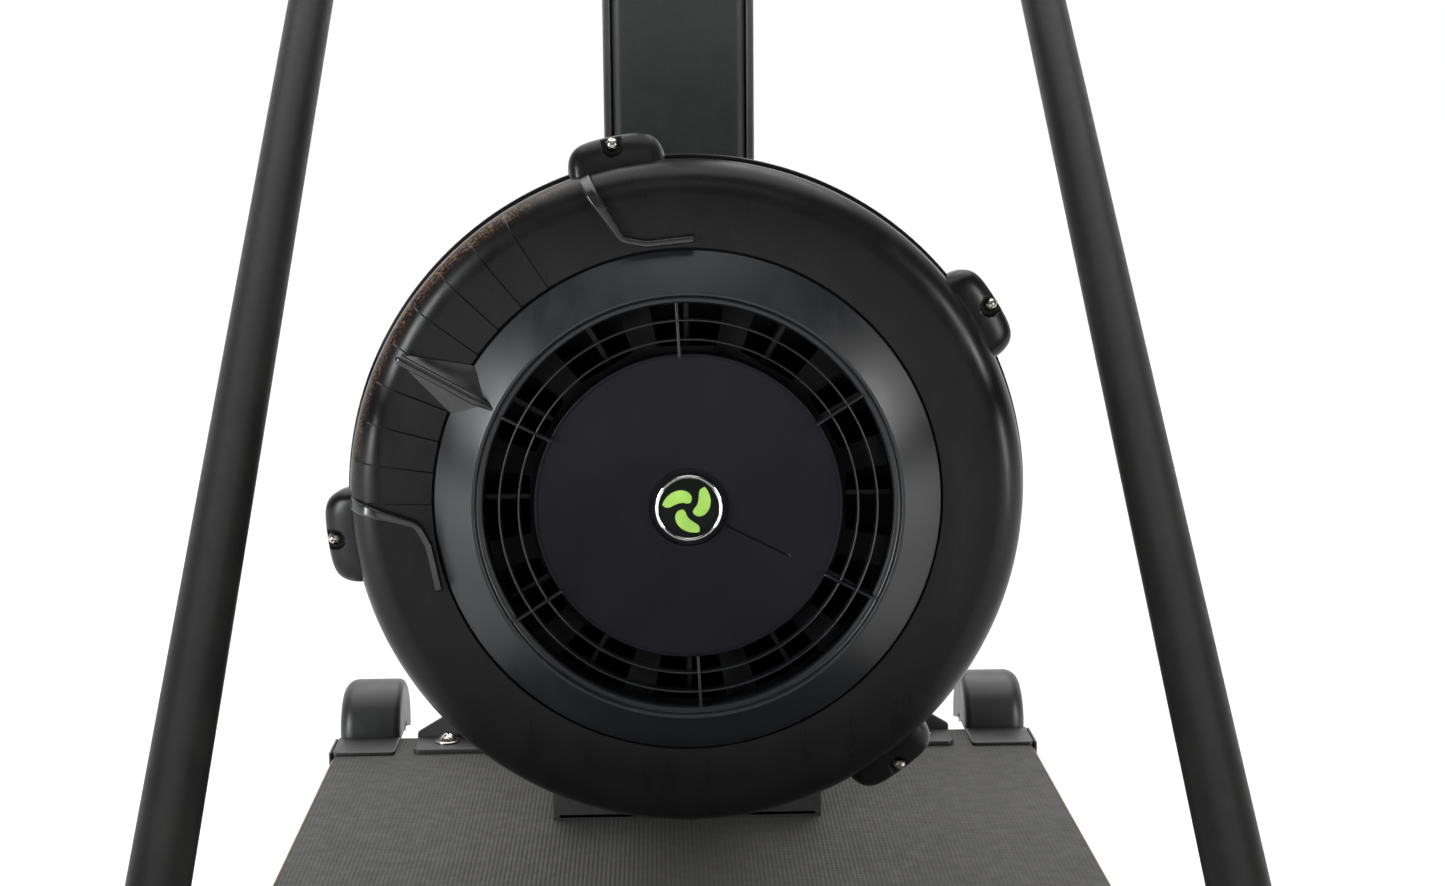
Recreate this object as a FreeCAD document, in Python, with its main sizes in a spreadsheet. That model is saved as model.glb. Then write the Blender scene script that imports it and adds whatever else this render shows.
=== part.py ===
import FreeCAD, Part
import math
import os

import Sketcher
from FreeCAD import Placement, Rotation, Vector

# Ski-pull trainer on a floor stand. The frame has its origin under the middle of the whole machine, on
# the floor; +Z is up, -Y is the side where the user stands, and X runs across. Sizes are millimetres
# and degrees. "Axial" sizes of the flywheel unit are measured along its axis from the seam between the
# two housing halves, positive towards the user.

os.makedirs("parts", exist_ok=True)
doc = FreeCAD.newDocument("ski_pull_trainer")

SIZES = {
    # platform
    "board_width": 597, "board_front": 635, "board_back": 560, "board_thick": 18, "board_corner": 14,
    "mat_thick": 3, "mat_inset": 2, "foot_height": 12, "foot_radius": 22, "foot_inset": 60,
    # hoop brace
    "hoop_inset": 28.5, "hoop_tube": 32, "hoop_wall": 2, "hoop_rise": 37.6, "hoop_foot_y": -429,
    "hoop_bend": 120, "hoop_length": 1262, "foot_plate_width": 62, "foot_plate_length": 190,
    "foot_plate_thick": 6, "foot_plate_shift": 8, "foot_plate_round": 9, "clamp_width": 96,
    "clamp_margin": 15, "clamp_cap": 8, "clamp_fit": 0.02, "clamp_bolt_inset": 14, "clamp_bolt_edge": 8,
    # fasteners
    "bolt_radius": 4, "bolt_head": 8, "bolt_head_high": 5, "washer_radius": 10.5, "washer_thick": 1.8,
    "bolt_depth": 14, "bolt_gap": 0.05, "shoe_bolt_inset": 24, "shoe_bolt_front": 30,
    "shoe_bolt_back": 40, "gusset_bolt_inset": 27, "gusset_bolt_lap": 14, "foot_bolt_inset": 16,
    # column
    "column_width": 115, "column_front": 424, "column_back": 548, "rail_thick": 6, "channel_back": 4,
    "column_in_head": 16, "cover_front": 420, "cover_wall": 3, "cover_depth": 30, "cover_groove": 1.2,
    "cover_groove_deep": 8, "cover_round": 7,
    # rear gusset and column shoe
    "gusset_inset": 68.5, "gusset_thick": 4, "gusset_height": 210, "gusset_shoulder": 112,
    "gusset_flange": 36, "gusset_foot": 8, "gusset_narrowing": 6, "gusset_gap": 4, "shoe_width": 207,
    "shoe_front": 343, "shoe_wall": 5, "shoe_height": 60,
    # casters
    "caster_width": 53, "caster_reach": 33, "caster_hood": 42, "caster_wall": 3, "caster_flange": 50,
    "caster_lip": 2.5, "caster_lip_high": 14, "wheel_radius": 28, "wheel_width": 30, "caster_pin": 4,
    "caster_skirt": 12, "wheel_hub": 10, "wheel_rim": 22, "wheel_dish": 4, "wheel_slant": 2,
    "wheel_round": 3,
    # flywheel unit
    "hub_z": 331, "seam_y": 120, "shell_radius": 216, "shell_wall": 3, "shell_face": 25,
    "shell_round": 22, "seam_half": 0.8, "seam_centre": -5.75, "ring_gap": 1.2, "rear_lip_out": 2.5,
    "rear_lip": 8, "rear_step": 10, "rear_depth": 83, "rear_round": 18, "rear_bore": 25, "lug_out": 19,
    "lug_length": 64, "lug_front": 4, "lug_back": 16, "lug_taper": 10, "pocket_gap": 2.8,
    "lug_floor": 3.75, "lug_a": 101.4, "lug_b": 32, "lug_c": -53, "lug_d": 186.3, "screw_radius": 2,
    "screw_head": 4.2, "screw_head_high": 2.6, "screw_out": 13, "screw_long": 9, "stop_centre": 143.5,
    "stop_swing": 38, "stop_turn": 41.5, "stop_end": 55.5, "stop_margin": 16, "stop_clear": 11.5,
    "stop_width": 4.5, "stop_high": 4, "stop_fall": 3, "stop_inner": 1.6, "stop_outer": 1.3,
    "slot_inner": 92, "slot_outer": 172, "slot_inner_width": 10, "slot_outer_width": 18,
    # damper ring, vent plate and badge
    "face_band": 55.7, "ring_edge": 25.5, "cone_width": 27.3, "ring_crest": 43.2, "ring_wall": 3,
    "vent_gap": 0.5, "vent_thick": 3, "vent_lap": 9.7, "window_margin": 3, "window_angle": 21,
    "lip_width": 2.4, "lip_bead": 2.2, "lip_deep": 11, "grille_space": 12.2, "grille_inner_space": 12,
    "grille_thick": 1.6, "grille_front": 43, "grille_deep": 8, "disc_gap": 9.4, "disc_front": 36,
    "disc_thick": 4, "spoke_start": 32.9, "spoke_thick": 1.8, "lever_angle": 152, "lever_margin": 10,
    "lever_base": 22, "lever_end": 6, "lever_lap": 14.3, "lever_high": 8, "damper_pin": 15,
    "damper_collar": 4, "badge_radius": 21.2, "badge_front": 41, "badge_rim": 2.2, "badge_recess": 25,
    # flywheel and axle
    "fan_gap": 34, "blade_long": 80, "fan_disc": 4, "fan_back": -62, "fan_front": -6, "blade_thick": 3,
    "hub_radius": 42, "axle_radius": 8.5, "axle_front": 4, "axle_back": 415, "run_gap": 0.05,
    "bearing_radius": 21, "bearing_wide": 11, "boss_radius": 22, "boss_front": 40, "boss_back": 6,
    "hub_thick": 14,
    # drive bracket, drums and cords
    "bracket_wall": 4, "bracket_room": 14, "bracket_back": 462, "drum_radius": 25.5,
    "drum_flange_high": 10.5, "drum_wide": 16, "drum_gap": 2, "drum_rim": 2.4, "drum_slant": 1,
    "cord_thick": 5, "groove_gap": 0.4, "cord_pitch": 500, "drive_cover_rise": 145,
    "drive_cover_drop": 231, "drive_cover_room": 45, "drive_cover_toe": 40, "drive_cover_brow": 14,
    "return_half": 12, "return_thick": 6, "return_rise": 99, "return_top_gap": 140, "return_y": 530,
    # head
    "head_base": 2040, "head_lower_high": 58, "head_upper_high": 62, "head_wall": 3, "exit_x": 200,
    "exit_y": 300, "pulley_drop": 2, "pulley_radius": 30, "pulley_flange": 4, "pulley_wide": 13,
    "pulley_pin": 5, "pulley_rim_flat": 1.5, "pulley_pin_out": 7, "exit_hole": 8, "head_round": 16,
    "head_crown": 4, "head_low_round": 6, "head_top_round": 12, "head_shoulder": 16, "head_tail": 8,
    "wing_out": 40, "wing_back": 52, "wing_front": 38, "wing_inner": 34, "brow_out": 4,
    "brow_front": 34,
    # handles
    "grip_drop": 54, "grip_radius": 16, "grip_waist": 14.2, "grip_long": 132, "neck_radius": 10,
    "neck_gap": 14, "neck_round": 4, "grip_round": 4, "grip_bead": 14, "grip_slope": 12,
    "strap_radius": 58, "strap_thick": 2.4, "strap_wide": 22, "strap_root": 6, "handle_travel": 1200,
    # monitor
    "monitor_z": 1560, "monitor_width": 204, "monitor_height": 150, "monitor_front": 298,
    "monitor_back": 340, "bezel_thick": 10, "monitor_wall": 3, "monitor_round": 12, "hinge_y": 366,
    "hinge_pin": 5, "hinge_knuckle": 10, "hinge_half": 14, "hinge_ear": 10, "hinge_gap": 0.4,
    "arm_plate": 5, "arm_half_wide": 30, "arm_half_high": 40, "screen_width": 132, "screen_height": 84,
    "screen_raise": 18, "screen_thick": 3, "key_width": 26, "key_height": 12, "key_pitch": 34,
    "key_drop": 50, "key_gap": 0.4, "key_proud": 2.5, "key_room": 3, "screen_set": 2, "case_rib": 4,
}
FAN_BLADES = 24
VENT_WINDOWS = 12
BACK_SLOTS = 18
SPOKES = 6
KEYS = 5
# how far a cutting tool runs past the face that it opens
PAST = 1

sheet = doc.addObject("Spreadsheet::Sheet", "Sizes")
for row, (alias, number) in enumerate(SIZES.items(), start=1):
    sheet.set(f"A{row}", alias)
    sheet.set(f"B{row}", str(number))
    sheet.setAlias(f"B{row}", alias)
doc.recompute()


class Amount:
    """A length or angle that knows its number and the sheet expression that gives it."""

    def __init__(self, number, text):
        self.number = float(number)
        self.text = text

    def _with(self, other, sign, number):
        return Amount(number, f"({self.text} {sign} {amount(other).text})")

    def __add__(self, other):
        return self._with(other, "+", self.number + amount(other).number)

    def __sub__(self, other):
        return self._with(other, "-", self.number - amount(other).number)

    def __mul__(self, other):
        return self._with(other, "*", self.number * amount(other).number)

    def __truediv__(self, other):
        return self._with(other, "/", self.number / amount(other).number)

    def __neg__(self):
        return Amount(-self.number, f"(0 - {self.text})")

    def __radd__(self, other):
        return amount(other) + self

    def __rsub__(self, other):
        return amount(other) - self

    def __rmul__(self, other):
        return amount(other) * self


def amount(value):
    """The value as an Amount; a plain number stands for itself."""
    return value if isinstance(value, Amount) else Amount(value, f"({float(value)})")


class SheetSizes:
    """Reads a driving dimension from the sheet by its alias."""

    def __getattr__(self, alias):
        return Amount(getattr(sheet, alias), f"Sizes.{alias}")


z = SheetSizes()

# sizes that follow from the driving ones
z.hoop_half_span = z.board_width / 2 - z.hoop_inset
z.clamp_height = z.hoop_tube + z.clamp_margin * 2
z.gusset_width = z.board_width - z.gusset_inset * 2
z.caster_y = z.board_back + z.caster_reach
z.ring_outer = z.shell_radius - z.face_band
z.face_opening = z.ring_outer + z.ring_gap
z.ring_lip = z.ring_outer - z.cone_width
z.grille_a = z.ring_lip - z.lip_width
z.grille_b = z.grille_a - z.grille_space
z.grille_c = z.grille_b - z.grille_inner_space
z.disc_radius = z.grille_c - z.disc_gap
z.window_outer = z.ring_lip - z.window_margin
z.window_inner = z.disc_radius + z.window_margin
z.vent_outer = z.ring_outer + z.vent_lap
z.lever_root = z.ring_outer - z.lever_lap
z.lever_tip = z.shell_radius - z.lever_margin
z.stop_out = z.shell_radius - z.stop_margin
z.stop_bend = z.ring_outer + z.stop_clear
z.lug_radius = z.shell_radius + z.lug_out
z.lug_pocket = (z.screw_head + z.pocket_gap) * 2
z.screw_place = z.shell_radius + z.screw_out
z.rear_lip_radius = z.shell_radius + z.rear_lip_out
z.rear_radius = z.shell_radius - z.rear_step
z.fan_radius = z.rear_radius - z.fan_gap
z.fan_inner = z.fan_radius - z.blade_long
z.drum_flange = z.drum_radius + z.drum_flange_high
z.bracket_half_high = z.drum_flange + z.bracket_room
z.drive_cover_half = z.bracket_half_high + z.drive_cover_room
z.drive_cover_top = z.hub_z + z.drive_cover_rise
z.drive_cover_foot = z.hub_z - z.drive_cover_drop
z.return_low = z.hub_z + z.return_rise
z.return_high = z.head_base - z.return_top_gap
z.head_split = z.head_base + z.head_lower_high
z.head_top = z.head_split + z.head_upper_high
z.column_top = z.head_base + z.column_in_head
z.pulley_z = z.head_split - z.pulley_drop
z.pulley_rim = z.pulley_radius + z.pulley_flange
z.grip_z = z.head_base - z.grip_drop
z.neck_top = z.head_base - z.neck_gap
NODES = []


def bind(item, prop, value):
    """Ties one property to the sheet."""
    item.setExpression(prop, amount(value).text)


def place(item, x=0, y=0, up=0, turn=Rotation()):
    """Puts an item at a point, tied to the sheet, with a fixed turn."""
    spot = [amount(value) for value in (x, y, up)]
    item.Placement = Placement(Vector(*[value.number for value in spot]), turn)
    for axis, value in zip("xyz", spot):
        bind(item, f"Placement.Base.{axis}", value)
    return item


def settle(item, placement):
    """Puts an item where another piece's geometry sends it, in place of the tie to the sheet."""
    for axis in "xyz":
        item.setExpression(f"Placement.Base.{axis}", None)
    item.Placement = placement


def node(item, label):
    """Names an item as a sub-part that is written out."""
    item.Label = label
    NODES.append(item)
    return item


AXES = {"X": Rotation(Vector(0, 1, 0), 90), "Y": Rotation(Vector(1, 0, 0), -90), "Z": Rotation()}
# A front view looks along +Y with its outline in X and Z; a side view has its outline in Y and Z.
FRONT = Rotation(Vector(1, 0, 0), 90)
SIDE = Rotation(Vector(1, 1, 1), 120)


def box(x0, x1, y0, y1, z0, z1):
    """A box between two corners."""
    item = doc.addObject("Part::Box", "Block")
    for prop, low, high in (("Length", x0, x1), ("Width", y0, y1), ("Height", z0, z1)):
        bind(item, prop, amount(high) - low)
    return place(item, x0, y0, z0)


def rod(radius, length, x, y, up, axis="Z"):
    """A cylinder that starts at a point and runs along an axis."""
    item = doc.addObject("Part::Cylinder", "Rod")
    bind(item, "Radius", radius)
    bind(item, "Height", length)
    return place(item, x, y, up, AXES[axis])


def cut(base, tool):
    """The base less the tool."""
    item = doc.addObject("Part::Cut", "Cut")
    item.Base, item.Tool = base, tool
    return item


def common(base, tool):
    """What the two share."""
    item = doc.addObject("Part::Common", "Common")
    item.Base, item.Tool = base, tool
    return item


def fuse(*pieces):
    """Pieces joined into one solid."""
    item = doc.addObject("Part::MultiFuse", "Fuse")
    item.Shapes = list(pieces)
    return item


def group(*pieces):
    """Separate solids that share one node."""
    item = doc.addObject("Part::Compound", "Group")
    item.Links = list(pieces)
    return item


def body(x=0, y=0, up=0, turn=Rotation()):
    """An empty body at a place tied to the sheet."""
    return place(doc.addObject("PartDesign::Body", "Body"), x, y, up, turn)


def sketch(owner, lift=0, angle=0, plane="XY_Plane"):
    """A sketch on one of the body's own origin planes, lifted along its normal and turned in it."""
    item = owner.newObject("Sketcher::SketchObject", "Sketch")
    support = [f for f in owner.Origin.OriginFeatures if f.Role == plane][0]
    item.AttachmentSupport = [(support, "")]
    item.MapMode = "FlatFace"
    turned = amount(angle)
    item.AttachmentOffset = Placement(Vector(), Rotation(Vector(0, 0, 1), turned.number))
    bind(item, "AttachmentOffset.Base.z", lift)
    if angle:
        bind(item, "AttachmentOffset.Rotation.Angle", turned)
    return item


def outline(item, points):
    """A closed polygon; each corner is tied to the sheet by its distances from the sketch's origin."""
    corners = [(amount(u), amount(v)) for u, v in points]
    first = item.GeometryCount
    for k, (u, v) in enumerate(corners):
        nu, nv = corners[(k + 1) % len(corners)]
        item.addGeometry(Part.LineSegment(Vector(u.number, v.number, 0), Vector(nu.number, nv.number, 0)))
    for k, (u, v) in enumerate(corners):
        here = first + k
        item.addConstraint(Sketcher.Constraint("Coincident", here, 2, first + (k + 1) % len(corners), 1))
        for kind, value in (("DistanceX", u), ("DistanceY", v)):
            index = item.addConstraint(Sketcher.Constraint(kind, -1, 1, here, 1, value.number))
            bind(item, f"Constraints[{index}]", value)
    return item


def circle(item, u, v, radius):
    """A circle tied to the sheet by its centre and its radius."""
    centre, size = (amount(u), amount(v)), amount(radius)
    spot = Vector(centre[0].number, centre[1].number, 0)
    here = item.addGeometry(Part.Circle(spot, Vector(0, 0, 1), size.number))
    for kind, value in (("DistanceX", centre[0]), ("DistanceY", centre[1])):
        index = item.addConstraint(Sketcher.Constraint(kind, -1, 1, here, 3, value.number))
        bind(item, f"Constraints[{index}]", value)
    index = item.addConstraint(Sketcher.Constraint("Radius", here, size.number))
    bind(item, f"Constraints[{index}]", size)
    return item


def pad(owner, drawing, length):
    """Raises a sketch along its normal."""
    item = owner.newObject("PartDesign::Pad", "Pad")
    item.Profile = drawing
    bind(item, "Length", length)
    drawing.Visibility = False
    doc.recompute()
    return item


def pocket(owner, drawing, depth):
    """A pocket into the solid, against the sketch's normal; it must remove material."""
    before = owner.Shape.Volume
    item = owner.newObject("PartDesign::Pocket", "Pocket")
    item.Profile = drawing
    bind(item, "Length", depth)
    doc.recompute()
    if not owner.Shape.Volume < before - 1e-6:
        raise ValueError(f"a pocket of {owner.Label} removed nothing")
    return item


def around(owner, feature, count):
    """Repeats a feature evenly round the body's Z axis."""
    item = owner.newObject("PartDesign::PolarPattern", "Pattern")
    item.Originals = [feature]
    item.Axis = ([f for f in owner.Origin.OriginFeatures if f.Role == "Z_Axis"][0], [""])
    item.Angle = 360
    item.Occurrences = count
    owner.Tip = item
    doc.recompute()
    return item


def soften(owner, radius, chosen):
    """Fillets those edges of the body's tip that pass the test."""
    doc.recompute()
    tip = owner.Tip
    names = [f"Edge{k}" for k, edge in enumerate(tip.Shape.Edges, start=1) if chosen(edge)]
    item = owner.newObject("PartDesign::Fillet", "Round")
    item.Base = (tip, names)
    bind(item, "Radius", radius)
    doc.recompute()
    return item


def circle_at(radius, level):
    """Test for a circular edge of a given radius and level along the body's Z axis."""
    want, height = amount(radius).number, amount(level).number

    def test(edge):
        return (isinstance(edge.Curve, Part.Circle) and abs(edge.Curve.Radius - want) < 0.02
                and abs(edge.Curve.Center.z - height) < 0.02)
    return test


def upright(edge):
    """Test for a straight edge along the body's Z axis."""
    return isinstance(edge.Curve, Part.Line) and abs(abs(edge.Curve.Direction.z) - 1) < 1e-6


def prism(points, start, length, turn=Rotation()):
    """An outline pushed along the normal of its view."""
    item = body(turn=turn)
    pad(item, outline(sketch(item, start), points), length)
    return item


def turned(points, x=0, y=0, up=0, turn=Rotation()):
    """An outline of (radius, height) corners turned round its own Z axis."""
    item = body(x, y, up, turn)
    drawing = outline(sketch(item, plane="XZ_Plane"), points)
    spin = item.newObject("PartDesign::Revolution", "Turn")
    spin.Profile = drawing
    spin.ReferenceAxis = (drawing, ["V_Axis"])
    spin.Angle = 360
    doc.recompute()
    return item


def tube(path, radius):
    """A round cord swept along straight runs and tangent arcs; the path sets the shape."""
    wire = Part.Wire(path)
    start = path[0].valueAt(path[0].FirstParameter)
    tangent = path[0].tangentAt(path[0].FirstParameter)
    ring = Part.Wire(Part.makeCircle(radius, start, tangent))
    return wire.makePipeShell([ring], True, False)


# ---------------------------------------------------------------- levels that several pieces share

board_low = z.foot_height
board_top = board_low + z.board_thick
deck = board_top + z.mat_thick
half_board = z.board_width / 2
half_column = z.column_width / 2
rail_inner = half_column - z.rail_thick
plate_top = deck + z.foot_plate_thick
shoe_floor = deck + z.shoe_wall
flange_top = deck + z.gusset_thick

# Bolts into the board: centre, the level that the washer rests on.
shoe_bolt_x = z.shoe_width / 2 - z.shoe_bolt_inset
gusset_bolt_x = z.gusset_width / 2 - z.gusset_bolt_inset
gusset_bolt_y = z.column_back - z.gusset_bolt_lap
foot_bolt_step = z.foot_plate_length / 2 - z.foot_bolt_inset
foot_plate_y = z.hoop_foot_y - z.foot_plate_shift
BOLTS = []
for side in (-1, 1):
    for step in (-1, 1):
        BOLTS.append((z.hoop_half_span * side, foot_plate_y + foot_bolt_step * step, plate_top))
    BOLTS.append((gusset_bolt_x * side, gusset_bolt_y, flange_top))
    for spot in (z.shoe_front + z.shoe_bolt_front, z.column_back - z.shoe_bolt_back):
        BOLTS.append((shoe_bolt_x * side, spot, shoe_floor))


def bolt_holes(low, high, near=None):
    """Cylinders for the bolt holes between two levels; near picks the bolts of one plate."""
    depth = amount(high) - low
    picked = [b for b in BOLTS if near is None or near(b)]
    return group(*[rod(z.bolt_radius + z.bolt_gap, depth, x, y, low) for x, y, _ in picked])


def make_platform():
    """Board, ribbed mat on it and six feet under it."""
    board = prism([(-half_board, -z.board_front), (half_board, -z.board_front),
                   (half_board, z.board_back), (-half_board, z.board_back)], board_low, z.board_thick)
    soften(board, z.board_corner, upright)
    node(cut(board, bolt_holes(deck - z.bolt_depth, deck + PAST)), "platform_board")
    reach = half_board - z.mat_inset
    mat = prism([(-reach, z.mat_inset - z.board_front), (reach, z.mat_inset - z.board_front),
                 (reach, z.board_back - z.mat_inset), (-reach, z.board_back - z.mat_inset)],
                board_top, z.mat_thick)
    soften(mat, z.board_corner - z.mat_inset, upright)
    node(cut(mat, bolt_holes(board_top - PAST, deck + PAST)), "platform_mat")
    across = half_board - z.foot_inset
    along = (z.foot_inset - z.board_front, z.board_back / 2 - z.board_front / 2,
             z.board_back - z.foot_inset)
    feet = [rod(z.foot_radius, z.foot_height, across * side, y, 0) for side in (-1, 1) for y in along]
    node(group(*feet), "platform_feet")


def make_hoop():
    """One bent tube: two legs rising to the back and a crossbar behind the column."""
    span, bend, length = z.hoop_half_span, z.hoop_bend, z.hoop_length
    slope = Rotation(Vector(1, 0, 0), z.hoop_rise.number)
    item = body(0, z.hoop_foot_y, deck, slope)
    bind(item, "Placement.Rotation.Angle", z.hoop_rise)
    spine = sketch(item)
    # the legs start below the board and are cut off level on the foot plates
    low = -60
    s, b, n = span.number, bend.number, length.number
    spine.addGeometry([
        Part.LineSegment(Vector(-s, low, 0), Vector(-s, n - b, 0)),
        Part.ArcOfCircle(Part.Circle(Vector(b - s, n - b, 0), Vector(0, 0, 1), b), math.pi / 2, math.pi),
        Part.LineSegment(Vector(b - s, n, 0), Vector(s - b, n, 0)),
        Part.ArcOfCircle(Part.Circle(Vector(s - b, n - b, 0), Vector(0, 0, 1), b), 0, math.pi / 2),
        Part.LineSegment(Vector(s, n - b, 0), Vector(s, low, 0))])
    for pair in ((0, 2, 1, 2), (1, 1, 2, 1), (2, 2, 3, 2), (3, 1, 4, 1)):
        spine.addConstraint(Sketcher.Constraint("Coincident", *pair))
    ties = (("DistanceX", 0, 1, -span), ("DistanceY", 0, 1, amount(low)), ("DistanceX", 0, 2, -span),
            ("DistanceY", 0, 2, length - bend), ("DistanceX", 2, 1, bend - span),
            ("DistanceY", 2, 1, length), ("DistanceX", 2, 2, span - bend), ("DistanceY", 2, 2, length),
            ("DistanceX", 4, 1, span), ("DistanceY", 4, 1, length - bend), ("DistanceX", 4, 2, span),
            ("DistanceY", 4, 2, amount(low)))
    for kind, line, end, value in ties:
        index = spine.addConstraint(Sketcher.Constraint(kind, -1, 1, line, end, value.number))
        bind(spine, f"Constraints[{index}]", value)
    for arc in (1, 3):
        index = spine.addConstraint(Sketcher.Constraint("Radius", arc, b))
        bind(spine, f"Constraints[{index}]", bend)
    ring = sketch(item, -low, plane="XZ_Plane")
    circle(ring, -span, 0, z.hoop_tube / 2)
    circle(ring, -span, 0, z.hoop_tube / 2 - z.hoop_wall)
    pipe = item.newObject("PartDesign::AdditivePipe", "Bend")
    pipe.Profile = ring
    pipe.Spine = spine
    pipe.Transition = "Right corner"
    doc.recompute()
    reach, room = span + z.hoop_bend, z.foot_plate_length * 1.5
    under = box(-reach, reach, z.hoop_foot_y - room, z.hoop_foot_y + room, plate_top - room, plate_top)
    node(cut(item, under), "hoop_brace")
    plates = []
    for side in (-1, 1):
        middle, half, reach = span * side, z.foot_plate_width / 2, z.foot_plate_length / 2
        plate = prism([(middle - half, foot_plate_y - reach), (middle + half, foot_plate_y - reach),
                       (middle + half, foot_plate_y + reach), (middle - half, foot_plate_y + reach)],
                      deck, z.foot_plate_thick)
        soften(plate, z.foot_plate_round, upright)
        holes = bolt_holes(deck - PAST, plate_top + PAST, lambda b: b[2] is plate_top)
        plates.append(cut(plate, holes))
    node(group(*plates), "hoop_foot_plates")


def hoop_crossbar():
    """Centre of the crossbar: distance back and height, worked out from the slope of the legs."""
    rise = math.radians(z.hoop_rise.number)
    run = Amount(math.cos(rise), "cos(Sizes.hoop_rise * 1 deg)")
    climb = Amount(math.sin(rise), "sin(Sizes.hoop_rise * 1 deg)")
    return z.hoop_foot_y + z.hoop_length * run, deck + z.hoop_length * climb


def make_clamp():
    """A saddle between the column's back and the crossbar, and a cap bolted over the crossbar."""
    y, up = hoop_crossbar()
    half, high = z.clamp_width / 2, z.clamp_height / 2
    cap = y + z.hoop_tube / 2 + z.clamp_cap
    block = box(-half, half, z.column_back, cap, up - high, up + high)
    seat = z.hoop_tube / 2 + z.clamp_fit
    saddle = cut(block, rod(seat, z.clamp_width + PAST * 2, -half - PAST, y, up, "X"))
    holes, bolts = [], []
    for side in (-1, 1):
        for level in (-1, 1):
            x, height = (half - z.clamp_bolt_inset) * side, up + (high - z.clamp_bolt_edge) * level
            start = z.column_back - z.channel_back
            length = cap - start
            holes.append(rod(z.bolt_radius + z.bolt_gap, length + PAST * 2, x, start - PAST, height, "Y"))
            bolts.append(fuse(rod(z.bolt_radius, length, x, start, height, "Y"),
                              rod(z.bolt_head, z.bolt_head_high, x, cap, height, "Y")))
    node(cut(saddle, group(*holes)), "hoop_clamp")
    node(group(*bolts), "clamp_bolts")
    return group(*holes)


def make_bolts():
    """Screws and washers that hold the frame down on the board."""
    bolts = []
    for x, y, level in BOLTS:
        stem = rod(z.bolt_radius, level - deck + z.bolt_depth, x, y, deck - z.bolt_depth)
        washer = rod(z.washer_radius, z.washer_thick, x, y, level)
        head = turned([(0, 0), (z.bolt_head, 0), (z.bolt_head, z.bolt_head_high * 0.45),
                       (z.bolt_head * 0.55, z.bolt_head_high), (0, z.bolt_head_high)],
                      x, y, level + z.washer_thick)
        bolts.append(fuse(stem, washer, head))
    node(group(*bolts), "stand_bolts")


def make_gusset():
    """Plate behind the column, wide on the board and narrow above, with two flanges to bolt down."""
    half, top = z.gusset_width / 2, deck + z.gusset_height
    shoulder = deck + z.gusset_shoulder
    back = z.column_back + z.gusset_thick
    foot, tip = deck + z.gusset_foot, half_column - z.gusset_narrowing
    plate = prism([(-half, deck), (half, deck), (half, foot), (half_column, shoulder), (tip, top),
                   (-tip, top), (-half_column, shoulder), (-half, foot)], -back, z.gusset_thick, FRONT)
    flanges = []
    for side in (-1, 1):
        inner, outer = (z.shoe_width / 2 + z.gusset_gap) * side, half * side
        low, high = (inner, outer) if side > 0 else (outer, inner)
        flanges.append(box(low, high, z.column_back - z.gusset_flange, z.column_back, deck, flange_top))
    whole = fuse(plate, *flanges)
    holes = bolt_holes(deck - PAST, flange_top + PAST, lambda b: b[2] is flange_top)
    node(cut(whole, holes), "rear_gusset")


def make_shoe():
    """Tray that the foot of the column and the drive cover stand in."""
    half, wall = z.shoe_width / 2, z.shoe_wall
    block = box(-half, half, z.shoe_front, z.column_back, deck, deck + z.shoe_height)
    inside = box(wall - half, half - wall, z.shoe_front + wall, z.column_back + PAST, shoe_floor,
                 deck + z.shoe_height + PAST)
    tray = cut(block, inside)
    node(cut(tray, bolt_holes(deck - PAST, shoe_floor + PAST, lambda b: b[2] is shoe_floor)), "column_shoe")


def make_casters():
    """Hooded transport wheels behind the two back corners of the board."""
    width, wall, y, up = z.caster_width, z.caster_wall, z.caster_y, deck
    pins = []
    for side, name in ((-1, "left"), (1, "right")):
        low = (half_board - width) if side > 0 else -half_board
        hood = rod(z.caster_hood, width, low, y, up, "X")
        room = z.caster_hood * 2
        skirt = box(low - PAST, low + width + PAST, y - room, y + room, up - room, up - z.caster_skirt)
        behind = box(low - PAST, low + width + PAST, y - room, z.board_back, up - room, up)
        hollow = rod(z.caster_hood - wall, width - wall * 2, low + wall, y, up, "X")
        shell = cut(hood, fuse(skirt, behind))
        flange = box(low, low + width, z.board_back - z.caster_flange, y, up, up + wall)
        edge = half_board if side > 0 else -half_board - z.caster_lip
        lip = box(edge, edge + z.caster_lip, z.board_back - z.caster_flange, y - z.caster_hood - PAST,
                  up - z.caster_lip_high, up + wall)
        pin_hole = rod(z.caster_pin, width + PAST * 2, low - PAST, y, up, "X")
        hooded = cut(cut(fuse(shell, flange), hollow), pin_hole)
        node(fuse(hooded, lip), f"caster_bracket_{name}")
        middle = low + width / 2 - z.wheel_width / 2
        bore, hub, rim = z.caster_pin + z.run_gap, z.wheel_hub, z.wheel_rim
        tread, wide, web = z.wheel_radius, z.wheel_width, rim - z.wheel_slant
        dish, curve, shoulder = z.wheel_dish, z.wheel_round, tread - z.wheel_slant
        wheel = turned([(bore, 0), (hub, 0), (hub, dish), (web, dish), (rim, 0), (shoulder, 0),
                        (tread, curve), (tread, wide - curve), (shoulder, wide), (rim, wide),
                        (web, wide - dish), (hub, wide - dish), (hub, wide), (bore, wide)],
                       middle, y, up, AXES["X"])
        node(wheel, f"caster_wheel_{name}")
        pins.append(rod(z.caster_pin, width, low, y, up, "X"))
    node(group(*pins), "caster_axles")


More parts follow.
